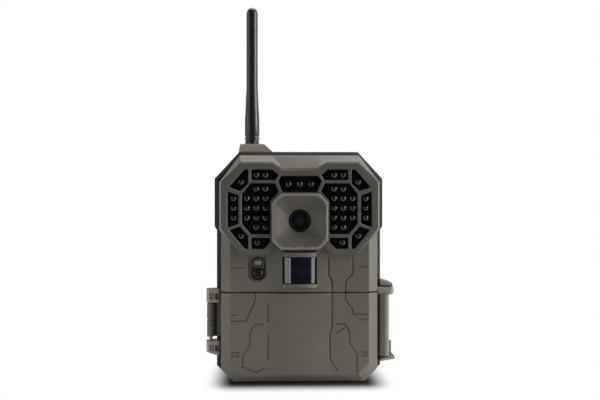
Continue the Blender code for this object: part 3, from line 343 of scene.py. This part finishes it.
# Painted reflection: a pale ring set by the dome's direction, left open at the top.
painted_glint_ring = add(tree, "ShaderNodeValToRGB",
          {"stops": [(0.66, (0, 0, 0, 1)), (0.72, (1, 1, 1, 1)), (0.78, (1, 1, 1, 1)),
                     (0.84, (0, 0, 0, 1))]}, {"Fac": (depth, 0)})
glint_gap_at_top = add(tree, "ShaderNodeMapRange",
            {"From Min": 0.52, "From Max": 0.36, "To Min": 0.0, "To Max": 1.0},
            {"Value": (split, "Z")})
shape = add(tree, "ShaderNodeMath", {"operation": "MULTIPLY"},
            {0: (painted_glint_ring, "Color"), 1: (glint_gap_at_top, "Result")})
speck = add(tree, "ShaderNodeTexNoise", {"Scale": 1 / (0.8 * MM)}, {"Vector": (where, "Object")})
fleck = add(tree, "ShaderNodeMapRange", {"To Min": 0.75, "To Max": 1.15}, {"Value": (speck, "Fac")})
share = add(tree, "ShaderNodeMath", {"operation": "MULTIPLY"},
            {0: (shape, 0), 1: (fleck, "Result")})
glass = add(tree, "ShaderNodeMix",
            {"data_type": "RGBA", 6: linear("080708"), 7: linear("7A797D")}, {0: (share, 0)})
tree.links.new(glass.outputs[2], shader.inputs["Base Color"])

deselect()
bpy.ops.mesh.primitive_uv_sphere_add(segments=20, ring_count=12, radius=DOME_RADIUS,
                                     location=(0, 0, 0), rotation=(math.radians(90), 0, 0))
pattern = bpy.context.object
bpy.ops.object.transform_apply(location=True, rotation=True, scale=True)
bpy.ops.object.mode_set(mode="EDIT")
bpy.ops.mesh.select_all(action="SELECT")
bpy.ops.mesh.bisect(plane_co=(0, 0, 0), plane_no=(0, 1, 0), clear_outer=True)
bpy.ops.mesh.select_all(action="DESELECT")
bpy.ops.mesh.select_non_manifold()
bpy.ops.mesh.extrude_region_move(TRANSFORM_OT_translate={"value": (0, DOME_STEM, 0)})
bpy.ops.mesh.fill()
bpy.ops.object.mode_set(mode="OBJECT")
bpy.ops.object.shade_smooth_by_angle(angle=math.radians(40))
pattern.data.materials.append(epoxy)
places = {"left": [(-x, z) for z, row in SIDE_ROWS for x in row],
          "right": [(x, z) for z, row in SIDE_ROWS for x in row],
          "top": [(x, 125) for x in (-7, 0, 7)]}
for side, spots in places.items():
    copies = []
    for x, z in spots:
        dome = bpy.data.objects.new("emitter_dome", pattern.data.copy())
        bpy.context.scene.collection.objects.link(dome)
        dome.location = (x * MM, DOME_TIP + DOME_RADIUS, z * MM)
        copies.append(dome)
    deselect()
    for dome in copies:
        dome.select_set(True)
    bpy.context.view_layer.objects.active = copies[0]
    bpy.ops.object.join()
    cluster = bpy.context.object
    cluster.name = "emitter_domes_" + side
    bpy.ops.object.transform_apply(location=True, rotation=True, scale=True)
    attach(cluster, "housing")
bpy.data.objects.remove(pattern)

# Circuit boards: the glass-fibre boards that carry the emitters, the sensor and the works, fixed
# inside the case, out of sight.
# Green solder mask over copper: paler tracks under it, and dull gold pads that are left bare.
board_mask, tree, shader, where = new_material("board_green_solder_mask", Roughness=0.35, IOR=1.5)
swap = add(tree, "ShaderNodeMapping", {"Rotation": (math.radians(90), 0, 0)},
           {"Vector": (where, "Object")})
tracks = add(tree, "ShaderNodeTexBrick",
             {"offset": 0.37, "Scale": 1 / (7 * MM), "Mortar Size": 0.03,
              "Color1": linear("16402A"), "Color2": linear("1B4A31"), "Mortar": linear("2E6B48")},
             {"Vector": (swap, "Vector")})
pads = add(tree, "ShaderNodeTexVoronoi", {"Scale": 1 / (3.4 * MM), "Randomness": 0.7},
           {"Vector": (where, "Object")})
dots = add(tree, "ShaderNodeValToRGB", {"stops": [(0.16, (1, 1, 1, 1)), (0.2, (0, 0, 0, 1))]},
           {"Fac": (pads, "Distance")})
mask = add(tree, "ShaderNodeMix", {"data_type": "RGBA", 7: linear("A88B4A")},
           {0: (dots, "Color"), 6: (tracks, "Color")})
tree.links.new(mask.outputs[2], shader.inputs["Base Color"])


def dress(node, look):
    """Give a CAD node that keeps its shape a better material."""
    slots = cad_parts[node].data.materials
    slots.clear()
    slots.append(look)


for node in ("led_board_left", "led_board_right", "led_board_top", "sensor_board", "main_board"):
    dress(node, board_mask)

# Lens: a turned aluminium cell that steps in to a domed front element, cemented in its seat. It
# looks out through the hood's funnel.
LENS_AXIS = (0, 0, 102)
GLASS_RADIUS = 5.0 * MM
LATHE_WELD = 0.0005 * MM
# Black anodising: a dense matt black that gives almost no light back.
anodised = grained("aluminium_black_anodised", "1A191B", "131214", 0.5, 0.3, 0.006)
# Coated glass: nearly black, with violet-blue painted into its middle, a painted reflection of
# the coating, darkening to the edge.
coated, tree, shader, where = new_material("glass_coated_front_element", Roughness=0.03, IOR=1.6,
                                           Coat_Weight=0.5, Coat_Roughness=0.02)
split = add(tree, "ShaderNodeSeparateXYZ", {}, {"Vector": (where, "Object")})
drop = add(tree, "ShaderNodeMath", {"operation": "SUBTRACT", 1: LENS_AXIS[2] * MM},
           {0: (split, "Z")})
flat = add(tree, "ShaderNodeCombineXYZ", {}, {"X": (split, "X"), "Y": (drop, 0)})
reach = add(tree, "ShaderNodeVectorMath", {"operation": "LENGTH"}, {0: (flat, "Vector")})
ring = add(tree, "ShaderNodeMapRange", {"From Max": GLASS_RADIUS}, {"Value": (reach, "Value")})
# Painted reflection: violet-blue in the middle, fading to near black at the rim.
painted_coating_glint = add(tree, "ShaderNodeValToRGB",
           {"stops": [(0.0, linear("242238")), (0.42, linear("211F33")),
                      (0.56, linear("15141A")), (0.9, linear("0E0D0F"))]},
           {"Fac": (ring, "Result")})
tree.links.new(painted_coating_glint.outputs["Color"], shader.inputs["Base Color"])


def lathe(name, profile, centre, axis, look, body, steps=64, smooth=35):
    """Spin a profile of (radius, height) round an axis, weld it and turn its faces outwards. A
    profile that starts off the axis is closed on itself."""
    points = [(r * MM, 0, h * MM) for r, h in profile]
    edges = [(i, i + 1) for i in range(len(points) - 1)]
    if profile[0][0] > 0:
        edges.append((len(points) - 1, 0))
    mesh = bpy.data.meshes.new(name)
    mesh.from_pydata(points, edges, [])
    piece = bpy.data.objects.new(name, mesh)
    bpy.context.scene.collection.objects.link(piece)
    take_up(piece)
    bpy.ops.object.mode_set(mode="EDIT")
    bpy.ops.mesh.select_all(action="SELECT")
    bpy.ops.mesh.spin(steps=steps, angle=math.tau, center=(0, 0, 0), axis=(0, 0, 1))
    bpy.ops.mesh.select_all(action="SELECT")
    bpy.ops.mesh.remove_doubles(threshold=LATHE_WELD)
    bpy.ops.mesh.normals_make_consistent(inside=False)
    bpy.ops.object.mode_set(mode="OBJECT")
    piece.rotation_euler = (math.radians(-90) if axis == "Y" else 0, 0, 0)
    piece.location = [c * MM for c in centre]
    bpy.ops.object.transform_apply(location=True, rotation=True, scale=True)
    bpy.ops.object.shade_smooth_by_angle(angle=math.radians(smooth))
    mesh.materials.append(look)
    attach(piece, body)
    return piece


cell = lathe("lens_cell",
             [(6.55, -28.5), (6.35, -28.7), (6.05, -28.7), (5.9, -28.3), (5.6, -28.3),
              (5.45, -27.9), (5.15, -27.9), (4.98, -27.4), (4.98, -25.9), (4.7, -25.7),
              (4.7, -18.7), (6.55, -18.7)], LENS_AXIS, "Y", anodised, "housing")
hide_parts("lens_barrel")
element = lathe("lens_front_element",
                [(0, -28.1), (0.9, -28.08), (1.8, -28.01), (2.7, -27.89), (3.5, -27.75),
                 (4.2, -27.6), (4.8, -27.43), (4.85, -26.1), (0, -26.1)],
                LENS_AXIS, "Y", coated, "housing", smooth=50)
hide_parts("lens_glass")

# Night filter: a slip of tinted glass in a carrier that a coil drives across the lens. It covers
# the sensor by day and moves aside at night.
# Dichroic glass: a clean gloss that drifts between blue-green and plum.
filter_glass, tree, shader, where = new_material("glass_night_filter", Roughness=0.05, IOR=1.52)
fringe = add(tree, "ShaderNodeTexWave", {"Scale": 1 / (14 * MM), "Distortion": 1.5},
             {"Vector": (where, "Object")})
tint = add(tree, "ShaderNodeValToRGB",
           {"stops": [(0.2, linear("1C2A33")), (0.8, linear("34242F"))]}, {"Fac": (fringe, "Fac")})
tree.links.new(tint.outputs["Color"], shader.inputs["Base Color"])
dress("ir_cut_filter", filter_glass)

# Motion sensor: a moulded polyethylene window, curved to gather heat from a wide field, over the
# steel can of the detector on its board.
# Dark glossy polyethylene: blue-black under a clear gloss, with faint bands from its inner lenses.
window_pe, tree, shader, where = new_material("polyethylene_dark_gloss", Roughness=0.09, IOR=1.62,
                                              Coat_Weight=0.7, Coat_Roughness=0.05)
facets = add(tree, "ShaderNodeTexWave",
             {"wave_type": "BANDS", "bands_direction": "Z", "Scale": 1 / (30 * MM)},
             {"Vector": (where, "Object")})
tint = add(tree, "ShaderNodeValToRGB",
           {"stops": [(0.2, linear("0C0F18")), (0.9, linear("141824"))]}, {"Fac": (facets, "Fac")})
tree.links.new(tint.outputs["Color"], shader.inputs["Base Color"])
pir = moulded_copy("pir_lens", 0.25, window_pe, "housing")
# Nickelled steel: a warm grey metal, brushed along one way so that its highlights draw out. The
# brush marks are about 0.1 mm apart; they are drawn coarser so that they show.
steel, tree, shader, where = new_material("steel_brushed_nickelled", Metallic=1.0)
stretch = add(tree, "ShaderNodeMapping", {"Scale": (1, 1, 12)}, {"Vector": (where, "Object")})
brush = add(tree, "ShaderNodeTexNoise", {"Scale": 1 / (2.4 * MM), "Detail": 4.0},
            {"Vector": (stretch, "Vector")})
tone = add(tree, "ShaderNodeValToRGB",
           {"stops": [(0.3, linear("8C8A86")), (0.75, linear("B4B2AE"))]}, {"Fac": (brush, "Fac")})
tree.links.new(tone.outputs["Color"], shader.inputs["Base Color"])
rub = add(tree, "ShaderNodeMapRange", {"To Min": 0.24, "To Max": 0.42}, {"Value": (brush, "Fac")})
tree.links.new(rub.outputs["Result"], shader.inputs["Roughness"])
dress("pir_sensor", steel)

# Indicator: a pill clipped into the waist, with a milky light guide above the dome of the light
# sensor. Its lower half is finished in the sensor's own tinted plastic.
PILL_SPLIT = 72.6 * MM
# Satin polycarbonate: a soft black with a broad sheen.
satin_black = grained("polycarbonate_satin_black", "453F3F", "383333", 0.36, 0.4, 0.008)
pill = moulded_copy("indicator_bezel", 0.35, satin_black, "housing", segments=4,
                    first=lambda piece: score(piece, lambda face: face.normal.y < -0.9,
                                              (0, 0, PILL_SPLIT), (0, 0, 1)))
# Milky acrylic: an unlit grey, mottled by the diffusing cells inside it.
milky, tree, shader, where = new_material("acrylic_milky_light_guide", Roughness=0.4, IOR=1.49)
grid = add(tree, "ShaderNodeTexVoronoi", {"Scale": 1 / (1.3 * MM), "Randomness": 0.2},
           {"Vector": (where, "Object")})
tint = add(tree, "ShaderNodeValToRGB",
           {"stops": [(0.15, linear("5E5B5B")), (0.45, linear("7C7979"))]},
           {"Fac": (grid, "Distance")})
tree.links.new(tint.outputs["Color"], shader.inputs["Base Color"])
guide = moulded_copy("indicator_led", 0.2, milky, "housing")
# Tinted polycarbonate: black with a trace of violet, and a quiet gloss.
violet_lens, tree, shader, where = new_material("polycarbonate_violet_black", Roughness=0.26,
                                                IOR=1.55, Specular_IOR_Level=0.3)
haze = add(tree, "ShaderNodeTexNoise", {"Scale": 1 / (1.4 * MM)}, {"Vector": (where, "Object")})
tint = add(tree, "ShaderNodeValToRGB",
           {"stops": [(0.3, linear("171216")), (0.75, linear("231B22"))]}, {"Fac": (haze, "Fac")})
tree.links.new(tint.outputs["Color"], shader.inputs["Base Color"])
pill.data.materials.append(violet_lens)
for face in pill.data.polygons:
    if face.center.z < PILL_SPLIT:
        face.material_index = 1
sensor_dome = lathe("light_sensor_dome",
                    [(0, -30.25), (0.45, -30.2), (0.8, -30.05), (1.0, -29.98), (1.5, -30.1),
                     (2.2, -29.9), (2.75, -29.55), (2.95, -29.3), (2.95, -28.75), (0, -28.75)],
                    (-26, 0, 68.9), "Y", violet_lens, "housing", smooth=40)
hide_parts("light_sensor")

# Antenna: a whip moulded in rubber over a coil, with two ring grooves at its foot. It screws onto
# a brass connector in the boss, over a soft sealing ring.
ANTENNA_AXIS = (-30.2, 4.0, 0)
# Satin black rubber: soft highlights along its length, broken by a faint bloom.
rubber_satin, tree, shader, where = new_material("rubber_satin_black", IOR=1.5, Sheen_Weight=0.12)
bloom = add(tree, "ShaderNodeTexNoise", {"Scale": 1 / (1.1 * MM), "Detail": 4.0},
            {"Vector": (where, "Object")})
tint = add(tree, "ShaderNodeValToRGB",
           {"stops": [(0.3, linear("0F0F0F")), (0.8, linear("1A1A1A"))]}, {"Fac": (bloom, "Fac")})
tree.links.new(tint.outputs["Color"], shader.inputs["Base Color"])
rub = add(tree, "ShaderNodeMapRange", {"To Min": 0.3, "To Max": 0.42}, {"Value": (bloom, "Fac")})
tree.links.new(rub.outputs["Result"], shader.inputs["Roughness"])
dimple = add(tree, "ShaderNodeBump", {"Strength": 0.15, "Distance": 0.01 * MM},
             {"Height": (bloom, "Fac")})
tree.links.new(dimple.outputs["Normal"], shader.inputs["Normal"])
whip = lathe("antenna_whip_turned",
             [(0, 241.5), (1.0, 241.4), (1.9, 241.0), (2.7, 240.3), (3.3, 239.3), (3.65, 238.2),
              (3.75, 237.0), (3.75, 188.6), (3.85, 186.6), (4.55, 171.4), (4.75, 168.6),
              (4.8, 166.0), (4.8, 157.4), (4.65, 157.1), (4.35, 157.0), (4.35, 156.3),
              (4.65, 156.2), (4.8, 155.9), (4.8, 154.9), (4.65, 154.6), (4.35, 154.5),
              (4.35, 153.9), (4.65, 153.8), (4.8, 153.5), (4.7, 152.85), (3.5, 152.85),
              (3.5, 159.8), (0, 159.8)], ANTENNA_AXIS, "Z", rubber_satin, "antenna")
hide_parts("antenna_whip")
# Sealing rubber: a flat black-grey that takes hardly any light.
seal_rubber = grained("rubber_matt_sealing", "232221", "1A1918", 0.8, 0.6, 0.01)
dress("antenna_seal", seal_rubber)
dress("door_seal", seal_rubber)
# Turned brass: a warm yellow metal, ringed by the tool. The rings are drawn coarser than the
# tool's, which would be too fine to show.
brass, tree, shader, where = new_material("brass_turned", Metallic=1.0)
turned = add(tree, "ShaderNodeTexWave",
             {"bands_direction": "Z", "Scale": 1 / (4 * MM), "Detail": 2.0},
             {"Vector": (where, "Object")})
tone = add(tree, "ShaderNodeValToRGB",
           {"stops": [(0.2, linear("9C7B3E")), (0.8, linear("C9A864"))]}, {"Fac": (turned, "Fac")})
tree.links.new(tone.outputs["Color"], shader.inputs["Base Color"])
rub = add(tree, "ShaderNodeMapRange", {"To Min": 0.22, "To Max": 0.36}, {"Value": (turned, "Fac")})
tree.links.new(rub.outputs["Result"], shader.inputs["Roughness"])
THREAD_ROOT, THREAD_CREST, THREAD_PITCH = 2.75, 3.12, 0.7
thread = [(0, 158.7)]
height = 158.5
while height > 152.0:
    thread += [(THREAD_ROOT, height), (THREAD_CREST, height - 0.2),
               (THREAD_CREST, height - 0.32), (THREAD_ROOT, height - 0.52)]
    height -= THREAD_PITCH
thread += [(THREAD_CREST, 151.2), (THREAD_CREST, 140.7), (0, 140.7)]
connector = lathe("antenna_connector_threaded", thread, ANTENNA_AXIS, "Z", brass, "housing",
                  steps=40)
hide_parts("sma_connector")

# Pins: plain steel rods that the door and the latch turn on. They are cut to length, with their
# ends broken, and pressed into the housing's knuckles and ears.
for node in ("hinge_pin", "latch_pin"):
    pin = moulded_copy(node, 0.25, steel, "housing")

# Battery tray: a slide-out tray moulded in dark ABS, with six cells in printed sleeves and two
# nickelled contact strips.
# Black ABS from a spark-eroded mould: a dark grey more than a black, with the case's own grain.
dark_abs = grained("abs_spark_eroded_black", "2C2B2B", "222121", 0.6)
tray = moulded_copy("battery_tray", 0.4, dark_abs, "tray")
for node in ("contact_left", "contact_right", "card_slot", "usb_port"):
    dress(node, steel)
# Shrunk sleeve: a smooth dark body with a coppery band at one end, and bare bright metal at both.
sleeve, tree, shader, where = new_material("sleeve_shrunk_on_cell", Roughness=0.28, IOR=1.5)
split = add(tree, "ShaderNodeSeparateXYZ", {}, {"Vector": (where, "Object")})
along = add(tree, "ShaderNodeMapRange", {"From Min": -42.4 * MM, "From Max": 7.6 * MM},
            {"Value": (split, "X")})
bands = add(tree, "ShaderNodeValToRGB",
            {"stops": [(0.012, linear("A9A8A4")), (0.02, linear("2B2F36")),
                       (0.7, linear("30343C")), (0.705, linear("B0713C")),
                       (0.955, linear("B87A44")), (0.965, linear("A9A8A4"))]},
            {"Fac": (along, "Result")})
tree.links.new(bands.outputs["Color"], shader.inputs["Base Color"])
bright = add(tree, "ShaderNodeMapRange",
             {"From Min": 0.62, "From Max": 0.72, "To Min": 0.0, "To Max": 0.85},
             {"Value": (along, "Result")})
tree.links.new(bright.outputs["Result"], shader.inputs["Metallic"])
for number in range(1, 7):
    battery = moulded_copy("battery_%d" % number, 0.35, sleeve, "tray")

# Control panel: a dark plate beside the battery tray, with a small screen, four keys, a three-way
# switch, the card slot and the data socket. Its markings are printed in pale ink.
panel = moulded_copy("control_panel", 0.25, dark_abs, "housing")
# Silicone: pale grey and soft to the eye, with no sharp highlight.
key_rubber = grained("silicone_grey_key", "8A8E8A", "7A7E7A", 0.55, 0.6, 0.01)
for node in ("button_menu", "button_up", "button_down", "button_ok"):
    key = moulded_copy(node, 0.45, key_rubber, node, segments=4)
knob = moulded_copy("mode_switch", 0.3, satin_black, "mode_switch")
# Clear acrylic: a bright thin sheet, a trace greener where dust lies on it.
cover_glass, tree, shader, where = new_material("acrylic_clear_screen", Roughness=0.04, IOR=1.49,
                                                Transmission_Weight=0.9)
dust = add(tree, "ShaderNodeTexNoise", {"Scale": 1 / (6 * MM)}, {"Vector": (where, "Object")})
tint = add(tree, "ShaderNodeValToRGB",
           {"stops": [(0.3, linear("E6ECE8")), (0.8, linear("F4F6F4"))]}, {"Fac": (dust, "Fac")})
tree.links.new(tint.outputs["Color"], shader.inputs["Base Color"])
dress("lcd_window", cover_glass)
# Liquid crystal over a reflector: a flat grey-green with its cells just visible.
crystal, tree, shader, where = new_material("liquid_crystal_reflective", Roughness=0.3)
rows = add(tree, "ShaderNodeTexChecker",
           {"Scale": 1 / (0.5 * MM), "Color1": linear("8F9B84"), "Color2": linear("97A38C")},
           {"Vector": (where, "Object")})
tree.links.new(rows.outputs["Color"], shader.inputs["Base Color"])
dress("lcd_display", crystal)
# Printing ink: off-white and a little worn, and the screen's segments in a dark green-grey.
INKS = {"ink_printed_pale": (0.6, "B4B4AC", "D4D4CC"),
        "ink_crystal_segment": (0.4, "20261E", "2A3026")}
inks = []
for name, (roughness, worn, fresh) in INKS.items():
    ink, tree, shader, where = new_material(name, Roughness=roughness)
    wear = add(tree, "ShaderNodeTexNoise", {"Scale": 1 / (0.6 * MM)}, {"Vector": (where, "Object")})
    tint = add(tree, "ShaderNodeValToRGB", {"stops": [(0.3, linear(worn)), (0.6, linear(fresh))]},
               {"Fac": (wear, "Fac")})
    tree.links.new(tint.outputs["Color"], shader.inputs["Base Color"])
    inks.append(ink)
ink_pale, ink_dark = inks
TEXT_SIZE = 1.4  # Blender's text size for each unit of a capital's height
PRINT_DEPTH = 0.02 * MM
BOLDER = 0.02  # how far the strokes are thickened, as a share of the height
PLATE, SCREEN = -7.03, -5.64  # the Y of the printing on the plate and on the screen, in mm


def printed(name, words, place, height, ink, body):
    """Flat lettering, set to a height and centred on a place, facing the front."""
    deselect()
    bpy.ops.object.text_add(location=(0, 0, 0))
    text = bpy.context.object
    text.data.body = words
    text.data.align_x = "CENTER"
    text.data.align_y = "CENTER"
    text.data.size = height * MM * TEXT_SIZE
    text.data.extrude = PRINT_DEPTH
    text.data.offset = BOLDER * height * MM
    bpy.ops.object.convert(target="MESH")
    text = bpy.context.object
    text.name = name
    text.rotation_euler = (math.radians(90), 0, 0)
    text.location = [c * MM for c in place]
    bpy.ops.object.transform_apply(location=True, rotation=True, scale=True)
    text.data.materials.append(ink)
    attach(text, body)
    return text


for name, words, place, height in (("label_menu", "MENU", (17.6, PLATE, 21.4), 1.5),
                                   ("label_ok", "OK", (34.8, PLATE, 21.4), 1.5),
                                   ("label_off", "OFF", (16.6, PLATE, 11.1), 1.3),
                                   ("label_on", "ON", (23.0, PLATE, 11.1), 1.3)):
    printed(name, words, place, height, ink_pale, "housing")
for name, words, place, height in (("screen_time", "12:00", (30.2, SCREEN, 44.6), 6.0),
                                   ("screen_count", "0001", (22.0, SCREEN, 37.2), 2.4)):
    printed(name, words, place, height, ink_dark, "housing")

# Memory card: a thin moulded case that pushes into the slot, held by its friction. Its label is
# blank.
# Smooth ABS: blue-black with a soft gloss and hardly any grain.
card_abs = grained("abs_smooth_blue_black", "23262E", "1A1C22", 0.4, 0.5, 0.008)
card = moulded_copy("memory_card", 0.2, card_abs, "memory_card")

# Underside: the power jack under its rubber cover, and the brass insert that takes a tripod's
# screw, pressed into the housing's floor.
cover = moulded_copy("port_cover", 0.35, seal_rubber, "port_cover")
dress("dc_jack", satin_black)
INSERT_ROOT, INSERT_CREST, INSERT_PITCH = 3.0, 2.62, 0.8
insert = [(4.28, 0.35), (4.28, 3.65)]
height = 3.5
while height > 0.9:
    insert += [(INSERT_CREST, height), (INSERT_ROOT, height - 0.3), (INSERT_CREST, height - 0.6)]
    height -= INSERT_PITCH
insert += [(2.9, 0.35)]
nut = lathe("tripod_insert_threaded", insert, (0, 8, 0), "Z", brass, "housing", steps=40)
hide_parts("tripod_insert")

# Case screws: four pan-head screws with a cross drive, sunk in the back, which hold the front
# housing to the rear one.
SCREW_PLACES = [(-34, 136), (34, 136), (-46, 30), (46, 30)]
DRIVE_LENGTH, DRIVE_WIDTH, DRIVE_DEPTH, HEAD_FACE = 2.6, 0.62, 1.6, 27.2
# Blackened steel: dark and dry, with a slight sheen where the head is turned.
screw_steel = grained("steel_blackened", "34332F", "282723", 0.4, 0.4, 0.008)
for number, (x, z) in enumerate(SCREW_PLACES, start=1):
    screw = lathe("housing_screw_%d_turned" % number,
                  [(0, 27.05), (1.3, 27.02), (2.1, 26.85), (2.55, 26.5), (2.7, 26.1),
                   (2.7, 25.85), (1.2, 25.85), (1.2, 23.4), (0, 23.4)],
                  (x, 0, z), "Y", screw_steel, "housing", steps=32)
    for length, width in ((DRIVE_LENGTH, DRIVE_WIDTH), (DRIVE_WIDTH, DRIVE_LENGTH)):
        deselect()
        bpy.ops.mesh.primitive_cube_add(size=1, location=(x * MM, HEAD_FACE * MM, z * MM))
        slot_tool = bpy.context.object
        slot_tool.scale = (length * MM, DRIVE_DEPTH * MM, width * MM)
        bpy.ops.object.transform_apply(location=True, rotation=True, scale=True)
        take_up(screw)
        cross = screw.modifiers.new("Drive", "BOOLEAN")
        cross.operation = "DIFFERENCE"
        cross.object = slot_tool
        cross.solver = "EXACT"
        bpy.ops.object.modifier_apply(modifier="Drive")
        bpy.data.objects.remove(slot_tool)
    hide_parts("housing_screw_%d" % number)

# Studio: white paper under the camera, which shows plain white away from the object and its
# contact shadow close to it, deepened there by a painted shadow, and a white surround that is dark
# behind the camera.
FOOT_X, FOOT_Y = 0.041, 0.028  # half the size of the shadow's core under the case, in metres
SIDE_FALL = 1.6  # how much faster the shadow ends at the sides than in front
# White paper: matt, and pale to everything that it lights. To the camera it carries a painted
# shadow, dark in a narrow band where it meets the case, that turns into the plain white of the
# backdrop about 3 cm away.
paper, tree, shader, where = new_material("paper_white_backdrop")
tree.nodes.remove(shader)
output = tree.nodes["Material Output"]
matt = add(tree, "ShaderNodeBsdfDiffuse")
glow = add(tree, "ShaderNodeEmission", {"Color": (1, 1, 1, 1), "Strength": 1.0})
split = add(tree, "ShaderNodeSeparateXYZ", {}, {"Vector": (where, "Object")})
gaps = []
for axis, half, weight in (("X", FOOT_X, SIDE_FALL), ("Y", FOOT_Y, 1.0)):
    size = add(tree, "ShaderNodeMath", {"operation": "ABSOLUTE"}, {0: (split, axis)})
    past = add(tree, "ShaderNodeMath", {"operation": "SUBTRACT", 1: half}, {0: (size, 0)})
    past = add(tree, "ShaderNodeMath", {"operation": "MULTIPLY", 1: weight}, {0: (past, 0)})
    gaps.append(add(tree, "ShaderNodeMath", {"operation": "MAXIMUM", 1: 0.0}, {0: (past, 0)}))
flat = add(tree, "ShaderNodeCombineXYZ", {}, {"X": (gaps[0], 0), "Y": (gaps[1], 0)})
away = add(tree, "ShaderNodeVectorMath", {"operation": "LENGTH"}, {0: (flat, "Vector")})
blend = add(tree, "ShaderNodeMapRange",
            {"interpolation_type": "SMOOTHSTEP", "From Min": 0.003, "From Max": 0.032},
            {"Value": (away, "Value")})
share = add(tree, "ShaderNodeMapRange", {"From Max": 0.05}, {"Value": (away, "Value")})
# Painted shadow: the paper's colour, as the camera alone sees it, darkens close to the case.
painted_shadow_greys = [(0.0, 0.045), (0.03, 0.03), (0.16, 0.09), (0.3, 0.2), (1.0, 0.7)]
painted_contact_shadow = add(tree, "ShaderNodeValToRGB",
            {"stops": [(place, (level, level, level, 1)) for place, level in painted_shadow_greys]},
            {"Fac": (share, "Result")})
path = add(tree, "ShaderNodeLightPath")
pale = add(tree, "ShaderNodeMix", {"data_type": "FLOAT", 2: 0.85},
           {0: (path, "Is Camera Ray"), 3: (painted_contact_shadow, "Color")})
tree.links.new(pale.outputs[0], matt.inputs["Color"])
seen = add(tree, "ShaderNodeMath", {"operation": "MAXIMUM"},
           {0: (path, "Is Camera Ray"), 1: (path, "Is Glossy Ray")})
seen = add(tree, "ShaderNodeMath", {"operation": "MAXIMUM"},
           {0: (seen, 0), 1: (path, "Is Transmission Ray")})
amount = add(tree, "ShaderNodeMath", {"operation": "MULTIPLY"},
             {0: (blend, "Result"), 1: (seen, 0)})
mixed = add(tree, "ShaderNodeMixShader", {}, {0: (amount, 0), 1: (matt, 0), 2: (glow, 0)})
tree.links.new(mixed.outputs[0], output.inputs["Surface"])
NEAR_EDGE, FAR_EDGE, HALF_WIDTH = -0.12, 4.0, 4.0
deselect()
bpy.ops.mesh.primitive_plane_add(size=2, location=(0, 0, 0))
floor = bpy.context.object
floor.name = "floor"
floor.scale = (HALF_WIDTH, (FAR_EDGE - NEAR_EDGE) / 2, 1)
floor.location = (0, (FAR_EDGE + NEAR_EDGE) / 2, 0)
bpy.ops.object.transform_apply(location=True, rotation=True, scale=True)
floor.data.materials.append(paper)

# The surround: mirrors see it brighten from the camera's side to the far side, and everything else
# sees a softer light that does the same.
world = bpy.data.worlds.new("studio")
bpy.context.scene.world = world
world.use_nodes = True
tree = world.node_tree
tree.nodes.clear()
output = add(tree, "ShaderNodeOutputWorld")
path = add(tree, "ShaderNodeLightPath")
view = tree.nodes.new("ShaderNodeTexCoord")
split = add(tree, "ShaderNodeSeparateXYZ", {}, {"Vector": (view, "Generated")})
mirrored = add(tree, "ShaderNodeMapRange",
               {"interpolation_type": "SMOOTHSTEP", "From Min": -0.35, "From Max": 0.5,
                "To Min": 0.03, "To Max": 0.75}, {"Value": (split, "Y")})
soft = add(tree, "ShaderNodeMapRange",
           {"interpolation_type": "SMOOTHSTEP", "From Min": -0.9, "From Max": 0.2,
            "To Min": 0.16, "To Max": 0.36}, {"Value": (split, "Y")})
lit = add(tree, "ShaderNodeMix", {"data_type": "FLOAT"},
          {0: (path, "Is Glossy Ray"), 2: (soft, "Result"), 3: (mirrored, "Result")})
direct = add(tree, "ShaderNodeMath", {"operation": "MAXIMUM"},
             {0: (path, "Is Camera Ray"), 1: (path, "Is Transmission Ray")})
level = add(tree, "ShaderNodeMix", {"data_type": "FLOAT", 3: 1.0}, {0: (direct, 0), 2: (lit, 0)})
sky = add(tree, "ShaderNodeBackground", {"Color": (1, 1, 1, 1)}, {"Strength": (level, 0)})
tree.links.new(sky.outputs[0], output.inputs["Surface"])


def softbox(name, place, aim, size, power):
    """A rectangular area lamp that faces a point."""
    lamp = bpy.data.lights.new(name, "AREA")
    lamp.shape = "RECTANGLE"
    lamp.size, lamp.size_y = size
    lamp.energy = power
    made = bpy.data.objects.new(name, lamp)
    bpy.context.scene.collection.objects.link(made)
    made.location = place
    made.rotation_euler = (Vector(aim) - Vector(place)).to_track_quat("-Z", "Y").to_euler()


softbox("key_right", (1.03, -0.26, 0.42), (0, 0, 0.1), (0.30, 0.8), 13)
softbox("side_left", (-1.02, -0.28, 0.35), (0, 0, 0.1), (0.3, 0.8), 2.4)
softbox("strip_left", (-0.845, -0.575, 0.03), (0, 0, 0.05), (0.30, 0.6), 0.9)
softbox("strip_left_thin", (-0.685, -0.76, 0.03), (0, 0, 0.05), (0.13, 0.6), 0.6)
softbox("strip_right", (0.88, -0.50, 0.03), (0, 0, 0.05), (0.27, 0.6), 1.2)
softbox("overhead", (0.1, 0.22, 1.1), (0, 0, 0.1), (0.9, 0.4), 9.5)

# Camera: level, at the photograph's distance, and turned two degrees to the left round the front
# of the object.
EYE_HEIGHT = 0.115
DISTANCE = 0.61
FRONT_Y = -0.0345
TURN = math.radians(-2.0)
camera_data = bpy.data.cameras.new("camera")
camera_data.lens = 59.0
camera = bpy.data.objects.new("camera", camera_data)
bpy.context.scene.collection.objects.link(camera)
camera.location = (DISTANCE * math.sin(TURN), FRONT_Y - DISTANCE * math.cos(TURN), EYE_HEIGHT)
camera.rotation_euler = (math.radians(90), 0, TURN)
bpy.context.scene.camera = camera
bpy.context.scene.view_settings.view_transform = "Standard"
